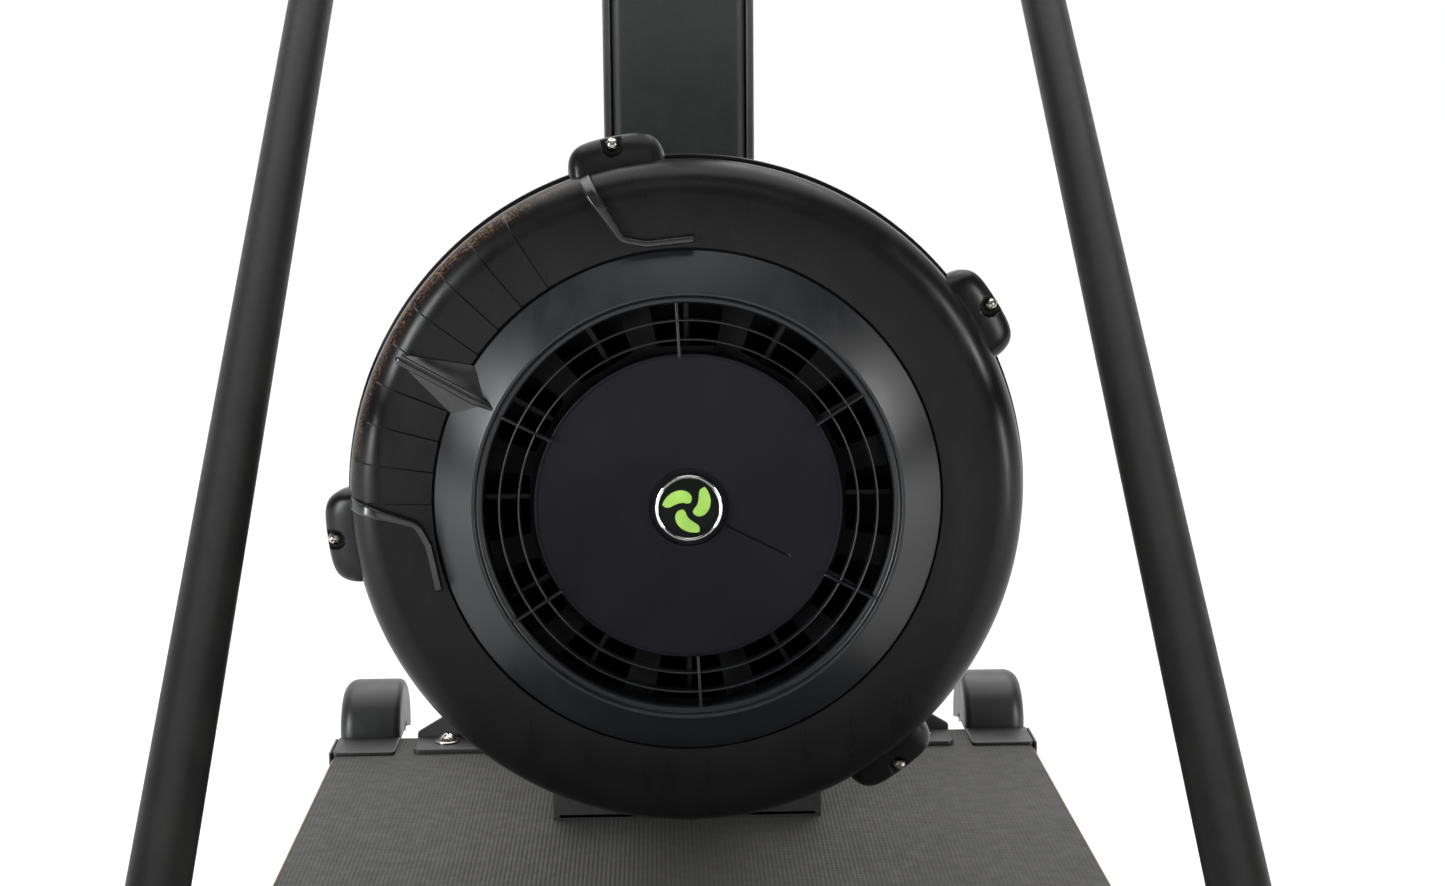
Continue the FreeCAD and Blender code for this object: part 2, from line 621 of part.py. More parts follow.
def make_column(clamp_holes):
    """Open channel that carries the machine, and the cover that closes its front above the drive."""
    inner = z.column_back - z.channel_back
    channel = prism([(-half_column, z.column_front), (-rail_inner, z.column_front), (-rail_inner, inner),
                     (rail_inner, inner), (rail_inner, z.column_front), (half_column, z.column_front),
                     (half_column, z.column_back), (-half_column, z.column_back)],
                    shoe_floor, z.column_top - shoe_floor)
    node(cut(channel, clamp_holes), "column_channel")
    wall, front = z.cover_wall, z.cover_front
    narrow, step = rail_inner - z.cover_groove, front + z.cover_groove_deep
    cover = prism([(-narrow, front), (narrow, front), (narrow, step), (rail_inner, step),
                   (rail_inner, front + z.cover_depth), (rail_inner - wall, front + z.cover_depth),
                   (rail_inner - wall, front + wall), (wall - rail_inner, front + wall),
                   (wall - rail_inner, front + z.cover_depth), (-rail_inner, front + z.cover_depth),
                   (-rail_inner, step), (-narrow, step)],
                  z.drive_cover_top, z.head_base - z.drive_cover_top)
    corner = narrow.number

    def front_corner(edge):
        spot = edge.Vertexes[0].Point
        return upright(edge) and abs(abs(spot.x) - corner) < 0.01 and abs(spot.y - front.number) < 0.01
    soften(cover, z.cover_round, front_corner)
    node(cover, "column_cover")


def unit_body():
    """A body whose Z axis is the flywheel axis, pointing at the user, with its zero at the seam."""
    return body(0, z.seam_y, z.hub_z, FRONT)


def unit_turned(points):
    """An outline of (radius, axial) corners turned round the flywheel axis."""
    return turned(points, 0, z.seam_y, z.hub_z, FRONT)


def unit_rod(radius, low, high):
    """A cylinder on the flywheel axis between two axial levels."""
    item = rod(radius, amount(high) - low, 0, z.seam_y - low, z.hub_z)
    item.Placement = Placement(item.Placement.Base, FRONT)
    bind(item, "Placement.Base.y", z.seam_y - low)
    return item


LUG_ANGLES = (z.lug_a, z.lug_b, z.lug_c, z.lug_d)


def add_lugs(owner, low, high, inner):
    """Four screw lugs on the rim, each a tapered block on its own turned sketch."""
    for angle in LUG_ANGLES:
        drawing = sketch(owner, low, angle - 90)
        half = z.lug_length / 2
        tip = half - z.lug_taper
        outline(drawing, [(-half, inner), (half, inner), (tip, z.lug_radius), (-tip, z.lug_radius)])
        pad(owner, drawing, amount(high) - low)


def polar(radius, angle, side):
    """A corner at a radius, at an angle from the X axis towards one side."""
    turn = angle.text
    return (radius * Amount(math.cos(math.radians(angle.number)), f"cos({turn} * 1 deg)"),
            radius * Amount(math.sin(math.radians(angle.number)), f"sin({turn} * 1 deg)") * side)


def make_front_cover():
    """Front half of the flywheel case with its screw lugs and the two stop ribs of the damper."""
    radius, wall, face = z.shell_radius, z.shell_wall, z.shell_face
    low = z.seam_centre + z.seam_half
    cover = unit_turned([(z.face_opening, face), (radius, face), (radius, low), (radius - wall, low),
                         (radius - wall, face - wall), (z.face_opening, face - wall)])
    soften(cover, z.shell_round, circle_at(radius, face))
    soften(cover, z.shell_round - wall, circle_at(radius - wall, face - wall))
    add_lugs(cover, z.seam_centre, z.lug_front, radius - 4)
    depth = z.lug_front - z.seam_centre - z.lug_floor
    for angle in LUG_ANGLES:
        drawing = sketch(cover, z.lug_front, angle - 90)
        half, low_edge = z.lug_pocket / 2, z.screw_place - z.screw_head - 2
        past = z.lug_radius + PAST
        outline(drawing, [(-half, low_edge), (half, low_edge), (half, past), (-half, past)])
        pocket(cover, drawing, depth)
        hole = sketch(cover, z.lug_front, angle - 90)
        circle(hole, 0, z.screw_place, z.screw_radius + z.bolt_gap)
        pocket(cover, hole, z.lug_front - z.seam_centre + PAST)
    for side in (-1, 1):
        # a bent stop rib: one leg out along the face, one leg round the ring
        drawing = sketch(cover, face - PAST, z.stop_centre)
        bend, end, wide = z.stop_bend, z.stop_bend - z.stop_fall, z.stop_width
        outline(drawing, [polar(z.stop_out, z.stop_swing, side), polar(bend, z.stop_turn, side),
                          polar(end, z.stop_end, side), polar(end - wide, z.stop_end, side),
                          polar(bend - wide, z.stop_turn - z.stop_inner, side),
                          polar(z.stop_out, z.stop_swing - z.stop_outer, side)])
        pad(cover, drawing, z.stop_high + PAST)
    node(cover, "front_cover")


def make_rear_housing():
    """Back half of the flywheel case, with its ring of outlet slots."""
    wall, depth, high = z.shell_wall, z.rear_depth, z.seam_centre - z.seam_half
    lip, radius, outer = high - z.rear_lip, z.rear_radius, z.rear_lip_radius
    housing = unit_turned([(outer - wall, high), (outer, high), (outer, lip), (outer - 4, lip - 3),
                           (radius, -depth), (z.rear_bore, -depth), (z.rear_bore, wall - depth),
                           (radius - wall, wall - depth), (outer - 4 - wall, lip - 3)])
    soften(housing, z.rear_round, circle_at(radius, -depth))
    add_lugs(housing, -z.lug_back, z.seam_centre, outer - 5)
    for angle in LUG_ANGLES:
        hole = sketch(housing, z.seam_centre, angle - 90)
        circle(hole, 0, z.screw_place, z.screw_radius + z.bolt_gap)
        pocket(housing, hole, z.screw_long)
    slot, near, far = sketch(housing, wall - depth + PAST), z.slot_inner_width / 2, z.slot_outer_width / 2
    outline(slot, [(-near, z.slot_inner), (near, z.slot_inner), (far, z.slot_outer), (-far, z.slot_outer)])
    around(housing, pocket(housing, slot, wall + PAST * 2), BACK_SLOTS)
    node(housing, "rear_housing")


def make_cover_screws():
    """Four screws that join the two halves of the case."""
    screws = []
    floor = z.seam_centre + z.lug_floor
    for angle in LUG_ANGLES:
        item = body(0, z.seam_y, z.hub_z, FRONT)
        drawing = sketch(item, floor, angle - 90)
        circle(drawing, 0, z.screw_place, z.screw_head)
        pad(item, drawing, z.screw_head_high)
        stem = sketch(item, floor - z.screw_long, angle - 90)
        circle(stem, 0, z.screw_place, z.screw_radius)
        pad(item, stem, z.screw_long)
        screws.append(item)
    node(group(*screws), "cover_screws")


def make_vent_plate():
    """Windowed plate behind the damper, with the pin that the damper turns on."""
    top = z.shell_face - z.shell_wall
    plate = unit_turned([(0, top - z.vent_thick), (z.vent_outer, top - z.vent_thick),
                         (z.vent_outer, top), (z.damper_pin, top), (z.damper_pin, z.disc_front - 6),
                         (0, z.disc_front - 6)])
    half = Amount(math.tan(math.radians(z.window_angle.number / 2)), "tan(Sizes.window_angle * 0.5 deg)")
    window, inner, outer = sketch(plate, top + PAST), z.window_inner, z.window_outer
    outline(window, [(-inner * half, inner), (inner * half, inner), (outer * half, outer),
                     (-outer * half, outer)])
    around(plate, pocket(plate, window, z.vent_thick + PAST * 2), VENT_WINDOWS)
    node(plate, "vent_plate")


def unit_spot(angle, across, radius, axial):
    """Placement on the flywheel unit: turned so that its own Y axis points out at the given angle."""
    lean = Rotation(Vector(0, 0, 1), angle - 90)
    local = Placement(lean.multVec(Vector(across, radius, axial)), lean)
    return Placement(Vector(0, z.seam_y.number, z.hub_z.number), FRONT).multiply(local)


def damper_spoke(angle):
    """A thin bar across the grille, from the centre disc to the lip of the cone."""
    overlap = 1.5
    bar = doc.addObject("Part::Box", "Spoke")
    bind(bar, "Length", z.spoke_thick)
    bind(bar, "Width", z.ring_lip - z.disc_radius + overlap - 0.6)
    bind(bar, "Height", z.grille_deep - 0.4)
    bar.Placement = unit_spot(angle, -z.spoke_thick.number / 2, z.disc_radius.number - overlap,
                              z.grille_front.number - z.grille_deep.number)
    return bar


def make_damper():
    """Turning damper ring: cone, grille, centre disc and lever."""
    low = z.shell_face - z.shell_wall + z.vent_gap
    wall, lip, crest = z.ring_wall, z.ring_lip, z.ring_crest
    bead, root = lip - z.lip_bead, crest - z.lip_deep
    cone = unit_turned([(z.ring_outer, low), (z.ring_outer, z.ring_edge), (lip + 3, crest - 0.8),
                        (lip + 1, crest), (lip - 1, crest), (bead, crest - 1.5), (bead, root),
                        (bead + wall, root), (lip + 2, crest - wall - 2), (z.ring_outer - wall, low)])
    rings = []
    for radius in (z.grille_a, z.grille_b, z.grille_c):
        back = z.grille_front - z.grille_deep
        ring = cut(unit_rod(radius + z.grille_thick / 2, back, z.grille_front),
                   unit_rod(radius - z.grille_thick / 2, back - 1, z.grille_front + 1))
        rings.append(ring)
    disc_back = z.disc_front - z.disc_thick
    disc = cut(unit_rod(z.disc_radius, disc_back, z.disc_front),
               unit_rod(z.badge_recess, z.disc_front - 2, z.disc_front + 1))
    rings.append(unit_rod(z.badge_recess - 6, z.disc_front - 2.5, z.disc_front - 0.5))
    collar = cut(unit_rod(z.damper_pin + z.damper_collar, low, disc_back),
                 unit_rod(z.damper_pin + z.run_gap, low - 1, disc_back - 1.5))
    spoke_bars = [damper_spoke(z.spoke_start.number + k * 360 / SPOKES) for k in range(SPOKES)]
    lever = doc.addObject("Part::Wedge", "Lever")
    under = z.shell_face + 0.8
    ties = {"Xmin": -z.lever_base, "Xmax": z.lever_base, "X2min": -z.lever_end, "X2max": z.lever_end,
            "Ymin": z.lever_root, "Ymax": z.lever_tip, "Zmin": under, "Z2min": under,
            "Zmax": under + z.lever_high + 2, "Z2max": under + z.lever_high}
    for prop, value in ties.items():
        bind(lever, prop, value)
    lever.Placement = unit_spot(z.lever_angle.number, 0, 0, 0)
    node(fuse(cone, disc, collar, lever, *rings, *spoke_bars), "damper_ring")


def make_badge():
    """Raised badge on the centre disc: a bright rim and the face inside it."""
    rim, front = z.badge_radius, z.badge_front
    seat = z.disc_front - 0.5
    node(unit_turned([(rim - z.badge_rim, seat), (rim, seat), (rim, front - 0.7), (rim - 0.7, front),
                      (rim - z.badge_rim, front - 0.4)]), "badge_rim")
    face = rim - z.badge_rim
    node(unit_turned([(0, seat), (face, seat), (face, front - 1.6), (0, front - 1.2)]), "badge_face")


def make_flywheel():
    """Bladed fan, its hub and the axle."""
    back, front, disc = z.fan_back, z.fan_front, z.fan_disc
    inner, boss = z.hub_radius + z.fan_disc, back + z.hub_thick
    fan = unit_turned([(z.hub_radius, back), (z.fan_radius, back), (z.fan_radius, back + disc),
                       (inner, back + disc), (inner, boss), (z.hub_radius, boss)])
    blade = sketch(fan, back + disc)
    half = z.blade_thick / 2
    outline(blade, [(-half, z.fan_inner), (half, z.fan_inner), (half, z.fan_radius - 1),
                    (-half, z.fan_radius - 1)])
    around(fan, pad(fan, blade, front - back - disc), FAN_BLADES)
    node(fan, "flywheel_fan")
    radius, low, high = z.boss_radius, back - z.boss_back, back + z.boss_front
    node(unit_turned([(z.axle_radius, low), (radius, low), (radius, back), (z.hub_radius, back),
                      (z.hub_radius, boss), (radius, boss), (radius, high), (z.axle_radius, high)]),
         "flywheel_hub")
    node(unit_rod(z.axle_radius, -z.axle_back, -z.axle_front), "flywheel_axle")


front_wall = z.seam_y + z.rear_depth


def make_drive():
    """Bracket that carries the axle between the rear housing and the column, its bearings and cover."""
    high, wall = z.bracket_half_high, z.bracket_wall
    back = z.bracket_back
    outer = box(-rail_inner, rail_inner, front_wall, back, z.hub_z - high, z.hub_z + high)
    hollow = box(wall - rail_inner, rail_inner - wall, front_wall + z.bearing_wide,
                 back - z.bearing_wide, z.hub_z - high + wall, z.hub_z + high - wall)
    bore = rod(z.bearing_radius, back - front_wall + PAST * 2, 0, front_wall - PAST, z.hub_z, "Y")
    node(cut(outer, fuse(hollow, bore)), "drive_bracket")
    for name, start in (("front", front_wall), ("rear", back - z.bearing_wide)):
        race = rod(z.axle_radius + z.run_gap, z.bearing_wide + PAST * 2, 0, start - PAST, z.hub_z, "Y")
        ring = cut(rod(z.bearing_radius, z.bearing_wide, 0, start, z.hub_z, "Y"), race)
        node(ring, f"bearing_{name}")
    half, top, foot = z.drive_cover_half, z.drive_cover_top, z.drive_cover_foot
    front, rear, skin = front_wall, z.column_front, z.cover_wall
    toe, brow, past = rear - z.drive_cover_toe, rear - z.drive_cover_brow, rear + PAST
    shell = prism([(front, z.hub_z - half), (toe, foot), (rear, foot), (rear, top), (brow, top),
                   (front, z.hub_z + half)], -half_column, z.column_width, SIDE)
    inner = prism([(front - PAST, z.hub_z - half + skin), (toe, foot + skin), (past, foot + skin),
                   (past, top - skin), (brow, top - skin), (front - PAST, z.hub_z + half - skin)],
                  skin - half_column, z.column_width - skin * 2, SIDE)
    node(cut(shell, inner), "drive_cover")


def drum_centre(side):
    """Distance back of the middle of one cord drum."""
    return z.cord_pitch + (z.drum_wide + z.drum_gap) / 2 * side


def make_drums():
    """Two flanged drums on the axle, one for each drive cord."""
    for side, name in ((-1, "left"), (1, "right")):
        start = drum_centre(side) - z.drum_wide / 2
        flange, core, wide = z.drum_flange, z.drum_radius, z.drum_wide
        bore, rim = z.axle_radius + z.run_gap, z.drum_rim
        inner = rim + z.drum_slant
        drum = turned([(bore, 0), (flange, 0), (flange, rim), (core, inner), (core, wide - inner),
                       (flange, wide - rim), (flange, wide), (bore, wide)], 0, start, z.hub_z, AXES["Y"])
        node(drum, f"cord_drum_{name}")


def cord_line(side):
    """Points and direction of one cord: rise beside the drum, over two pulleys, down to the exit."""
    rise = Vector((z.drum_radius.number + z.cord_thick.number / 2) * side,
                  drum_centre(side).number, z.pulley_z.number)
    drop = Vector(z.exit_x.number * side, z.exit_y.number, z.pulley_z.number)
    way = (drop - rise).normalize()
    return rise, drop, way


def make_head():
    """Drive cords, their pulleys and pins, and the two shells of the head round them."""
    cord, reach = z.cord_thick.number / 2, z.pulley_radius.number
    pins = []
    for side, name in ((-1, "left"), (1, "right")):
        rise, drop, way = cord_line(side)
        up = Vector(0, 0, 1)
        lean = math.sqrt(0.5)
        low = Vector(rise.x, rise.y, z.hub_z.number)
        first, last = rise + way * reach, drop - way * reach
        path = [Part.LineSegment(low, rise).toShape(),
                Part.Arc(rise, first + (up - way) * (reach * lean), first + up * reach).toShape(),
                Part.LineSegment(first + up * reach, last + up * reach).toShape(),
                Part.Arc(last + up * reach, last + (up + way) * (reach * lean), drop).toShape(),
                Part.LineSegment(drop, Vector(drop.x, drop.y, z.head_base.number)).toShape()]
        run = doc.addObject("Part::Feature", "Cord")
        run.Shape = tube(path, cord)
        node(run, f"drive_cord_{name}")
        print(name, "cord", round(sum(edge.Length for edge in path)), "mm, arcs of", reach, "mm")
        across = way.cross(up).normalize()
        for spot, kind in ((first, "inner"), (last, "outer")):
            groove = z.pulley_radius - z.cord_thick / 2 - z.groove_gap
            rim, wide, flat = z.pulley_rim, z.pulley_wide, z.cord_thick / 2 + z.groove_gap
            hub = z.pulley_pin + z.run_gap
            edge = z.pulley_rim_flat
            wheel = turned([(hub, 0), (rim, 0), (rim, edge), (groove, wide / 2 - flat),
                            (groove, wide / 2 + flat), (rim, wide - edge), (rim, wide), (hub, wide)])
            half = z.pulley_wide.number / 2
            turn = Rotation(up, across)
            settle(wheel, Placement(spot - across * half, turn))
            node(wheel, f"{kind}_pulley_{name}")
            pin = doc.addObject("Part::Cylinder", "Pin")
            bind(pin, "Radius", z.pulley_pin)
            bind(pin, "Height", z.pulley_wide + z.pulley_pin_out * 2)
            pin.Placement = Placement(spot - across * (half + z.pulley_pin_out.number), turn)
            pins.append(pin)
    node(group(*pins), "pulley_axles")
    for low, high, name in ((z.head_base, z.head_split, "lower"), (z.head_split, z.head_top, "upper")):
        make_head_shell(low, high, name)


def wing(grow, low, high):
    """Plan outline of the head, a wing swept forward to the two cord exits; grow moves its edges."""
    tip, back = z.exit_x + z.wing_out + grow, z.column_back + z.head_tail + grow
    half = half_column + z.head_shoulder + grow
    rear, front = z.exit_y + z.wing_back + grow, z.exit_y - z.wing_front - grow
    inner, brow = z.exit_x - z.wing_inner, half_column + z.brow_out
    middle = z.column_front - z.brow_front - grow
    return prism([(-half, back), (-tip, rear), (-tip, front), (-inner, front), (-brow, middle),
                  (brow, middle), (inner, front), (tip, front), (tip, rear), (half, back)],
                 low, amount(high) - low)


def make_head_shell(low, high, name):
    """One half of the head, open where the column, its cover and the cords come in."""
    wall = z.head_wall
    outer = wing(amount(0), low, high)
    soften(outer, z.head_round, upright)
    if name == "lower":
        level = low

        def rim(edge):
            return abs(edge.BoundBox.ZMax - level.number) < 0.01
        soften(outer, z.head_low_round, rim)
        inner, under, over = wing(-wall, low + wall, high + PAST), low - PAST, low + wall + PAST
        column = box(-half_column, half_column, z.column_front, z.column_back, under, high + PAST)
        front = box(-rail_inner, rail_inner, z.cover_front, z.column_front, under, over)
        exits = [rod(z.exit_hole, wall * 3, z.exit_x * side, z.exit_y, under) for side in (-1, 1)]
        node(cut(outer, fuse(inner, column, front, *exits)), "head_lower_shell")
    else:
        level = high

        def rim(edge):
            return abs(edge.BoundBox.ZMin - level.number) < 0.01
        soften(outer, z.head_top_round, rim)
        inner = wing(-wall, low - PAST, high - wall - z.head_crown)
        node(cut(outer, inner), "head_upper_shell")


def make_return():
    """Elastic cord doubled over a pulley inside the column; its path is fixed by the pulley."""
    half, low, high = z.return_half.number, z.return_low.number, z.return_high.number
    y = z.return_y.number
    path = [Part.LineSegment(Vector(-half, y, low), Vector(-half, y, high)).toShape(),
            Part.Arc(Vector(-half, y, high), Vector(0, y, high + half), Vector(half, y, high)).toShape(),
            Part.LineSegment(Vector(half, y, high), Vector(half, y, low)).toShape()]
    cord = doc.addObject("Part::Feature", "ReturnCord")
    cord.Shape = tube(path, z.return_thick.number / 2)
    node(cord, "return_cord")
    start = z.return_y - z.return_thick / 2
    length = z.column_back - z.channel_back - start
    wheel = rod(z.return_half - z.return_thick / 2, length, 0, start, z.return_high, "Y")
    node(wheel, "return_pulley")


def make_handles():
    """Two pull handles, each a grip with its neck, a hand strap and the end of its cord."""
    for side, name in ((-1, "left"), (1, "right")):
        x, y, up = z.exit_x * side, z.exit_y, z.grip_z
        half, big, waist = z.grip_long / 2, z.grip_radius, z.grip_waist
        end, bead, slope, long = z.grip_round, z.grip_bead, z.grip_slope, z.grip_long
        grip = turned([(0, 0), (big - end, 0), (big, end), (big, bead), (waist, bead + slope),
                       (waist, half - bead), (big, half - slope / 2), (big, half + slope / 2),
                       (waist, half + bead), (waist, long - bead - slope), (big, long - bead),
                       (big, long - end), (big - end, long), (0, long)], x - half, y, up, AXES["X"])
        rise, thin = z.neck_top - z.grip_z, z.neck_radius - z.neck_round
        neck = turned([(0, 0), (z.neck_radius, 0), (z.neck_radius, big + z.neck_round), (thin, rise),
                       (0, rise)], x, y, up)
        node(fuse(grip, neck), f"handle_grip_{name}")
        outer, thick = z.strap_radius, z.strap_thick
        ring = cut(rod(outer, z.strap_wide, x, y - z.strap_wide / 2, up, "Y"),
                   rod(outer - thick, z.strap_wide + PAST * 2, x, y - z.strap_wide / 2 - PAST, up, "Y"))
        reach = outer + PAST
        keep = box(x - reach, x + reach, y - z.strap_wide, y + z.strap_wide, up - reach,
                   up - big + z.strap_root)
        node(common(ring, keep), f"handle_strap_{name}")
        node(rod(z.cord_thick / 2, z.head_base - z.neck_top, x, y, z.neck_top), f"handle_cord_{name}")


def make_monitor():
    """Tilting monitor: arm, hinge pin, case, bezel, screen and keys."""
    up, half = z.monitor_z, z.monitor_width / 2
    tall, front, back = z.monitor_height / 2, z.monitor_front, z.monitor_back
    hinge, knuckle, reach = z.hinge_y, z.hinge_knuckle, z.hinge_half
    # the arm: a plate on the column cover, and a tongue whose eye is the middle knuckle
    wide, high, root = z.arm_half_wide, z.arm_half_high, z.cover_front - z.arm_plate
    plate = box(-wide, wide, root, z.cover_front, up - high, up + high)
    tongue = box(-reach, reach, hinge, root, up - knuckle, up + knuckle)
    eye = rod(knuckle, reach * 2, -reach, hinge, up, "X")
    pin_hole = rod(z.hinge_pin, (reach + PAST) * 2, -reach - PAST, hinge, up, "X")
    node(cut(fuse(plate, tongue, eye), pin_hole), "monitor_arm")
    outer, inner = reach + z.hinge_ear, reach + z.hinge_gap
    node(rod(z.hinge_pin, outer * 2, -outer, hinge, up, "X"), "monitor_pin")
    case = prism([(-half, up - tall), (half, up - tall), (half, up + tall), (-half, up + tall)],
                 -back, back - front - z.bezel_thick, FRONT)
    soften(case, z.monitor_round, upright)
    wall, frame = z.monitor_wall, z.monitor_wall + z.case_rib
    hollow = box(frame - half, half - frame, front + z.bezel_thick - PAST, back - wall,
                 up - tall + frame, up + tall - frame)
    shell, holes, ears = cut(case, hollow), [], []
    for side in (-1, 1):
        low, long = inner if side > 0 else -outer, outer - inner
        ears.append(box(low, low + long, back - PAST, hinge, up - knuckle, up + knuckle))
        ears.append(rod(knuckle, long, low, hinge, up, "X"))
        holes.append(rod(z.hinge_pin + z.run_gap, long + PAST * 2, low - PAST, hinge, up, "X"))
    node(cut(fuse(shell, *ears), group(*holes)), "monitor_case")
    bezel = prism([(-half, up - tall), (half, up - tall), (half, up + tall), (-half, up + tall)],
                  -front - z.bezel_thick, z.bezel_thick, FRONT)
    soften(bezel, z.monitor_round, upright)
    middle = up + z.screen_raise
    wide, high = z.screen_width / 2, z.screen_height / 2
    before, behind = front - PAST, front + z.bezel_thick + PAST
    window = box(-wide, wide, before, behind, middle - high, middle + high)
    slots = []
    for k in range(KEYS):
        x, drop = z.key_pitch * (k - (KEYS - 1) / 2), up - z.key_drop
        w, h, gap = z.key_width / 2, z.key_height / 2, z.key_gap
        slots.append(box(x - w - gap, x + w + gap, before, behind, drop - h - gap, drop + h + gap))
        root = front + z.bezel_thick - z.key_room
        key = box(x - w, x + w, front - z.key_proud, root, drop - h, drop + h)
        node(key, f"monitor_key_{k + 1}")
    node(cut(bezel, fuse(window, *slots)), "monitor_bezel")
    glass = front + z.screen_set
    node(box(-wide, wide, glass, glass + z.screen_thick, middle - high, middle + high), "monitor_screen")


make_platform()
make_hoop()
make_column(make_clamp())
make_bolts()
make_gusset()
make_shoe()
make_casters()
make_front_cover()
make_rear_housing()
make_cover_screws()
make_vent_plate()
make_damper()
make_badge()
make_flywheel()
make_drive()
make_drums()
make_head()
make_return()
make_handles()
make_monitor()

doc.recompute()
faults = [f"{item.Label}: {item.State}" for item in doc.Objects
          if {"Invalid", "Error"} & set(item.State)]
for item in NODES:
    if item.Shape.isNull() or not item.Shape.isValid() or not item.Shape.Solids:
        faults.append(f"{item.Label}: no valid shape")
if faults:
    raise RuntimeError("; ".join(faults))
for item in NODES:
    item.Shape.exportStep(f"parts/{item.Label}.step")
print(len(NODES), "sub-parts written")
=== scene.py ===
"""Looks of a ski-pull trainer on a floor stand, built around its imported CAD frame.

Lengths in this file are millimetres unless a name says otherwise; pieces are written in metres.
"""

import logging
import math
from dataclasses import dataclass
from enum import Enum
from typing import Callable, Optional, Sequence

import bmesh
import bpy
import numpy as np
from mathutils import Matrix


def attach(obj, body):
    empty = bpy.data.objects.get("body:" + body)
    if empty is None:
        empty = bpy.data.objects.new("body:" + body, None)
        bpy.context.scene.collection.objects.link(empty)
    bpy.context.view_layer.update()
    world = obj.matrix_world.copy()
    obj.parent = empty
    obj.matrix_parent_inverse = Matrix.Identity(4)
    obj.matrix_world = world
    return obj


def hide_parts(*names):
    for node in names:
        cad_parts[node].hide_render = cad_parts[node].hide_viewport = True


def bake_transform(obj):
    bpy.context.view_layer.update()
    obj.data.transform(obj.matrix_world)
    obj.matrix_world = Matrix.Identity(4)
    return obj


logging.basicConfig(level=logging.INFO, format="%(message)s")
LOG = logging.getLogger("trainer")
MM = 0.001
COAT_ROUGH = 0.12
SHEEN_ROUGH = 0.5
MERGE_REACH_M = 2e-6
SLIVER_M = 1e-7
TINY = 1e-9
POLE = 0.0  # radius at which a turned face closes on its axis
Array = np.ndarray
Color = tuple[float, float, float]

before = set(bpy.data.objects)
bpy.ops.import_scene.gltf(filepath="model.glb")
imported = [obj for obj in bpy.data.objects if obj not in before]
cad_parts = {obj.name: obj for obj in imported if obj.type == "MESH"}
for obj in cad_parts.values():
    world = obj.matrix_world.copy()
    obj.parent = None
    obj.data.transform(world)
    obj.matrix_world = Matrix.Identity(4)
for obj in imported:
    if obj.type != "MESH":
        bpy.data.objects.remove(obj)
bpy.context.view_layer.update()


# ------------------------------------------------------------------------------------- finishes

class Pattern(Enum):
    """The kind of surface detail that a finish shows."""

    MOULDED = "moulded plastic with a fine eroded grain"
    COATED = "powder coat"
    RIBBED = "rubber with a lattice of small pyramids"
    PLY = "cut plywood edge"
    WOVEN = "webbing, woven along its own UV map"
    BRUSHED = "turned or brushed metal"
    SMOOTH = "polished, with faint handling marks"
    HIDE = "plastic moulded with a fine leather grain"


@dataclass(frozen=True)
class Finish:
    """A finish of one piece: colours, gloss and the pattern that carries its detail."""

    name: str
    color: Color
    shade: Color
    rough: float = 0.4
    metallic: float = 0.0
    coat: float = 0.0
    specular: float = 0.5
    sheen: float = 0.0
    grain_mm: float = 0.7
    relief_mm: float = 0.02
    pattern: Pattern = Pattern.MOULDED
    worn: Optional[Color] = None

    def material(self) -> bpy.types.Material:
        """Returns the finish as a node material, made once."""
        known = bpy.data.materials.get(self.name)
        return known if known else Graph(self).material


def set_range(node: bpy.types.Node, start: float, end: float, low: float, high: float) -> None:
    """Sets a Map Range node to take start..end to low..high."""
    for name, number in (("From Min", start), ("From Max", end), ("To Min", low), ("To Max", high)):
        node.inputs[name].default_value = number


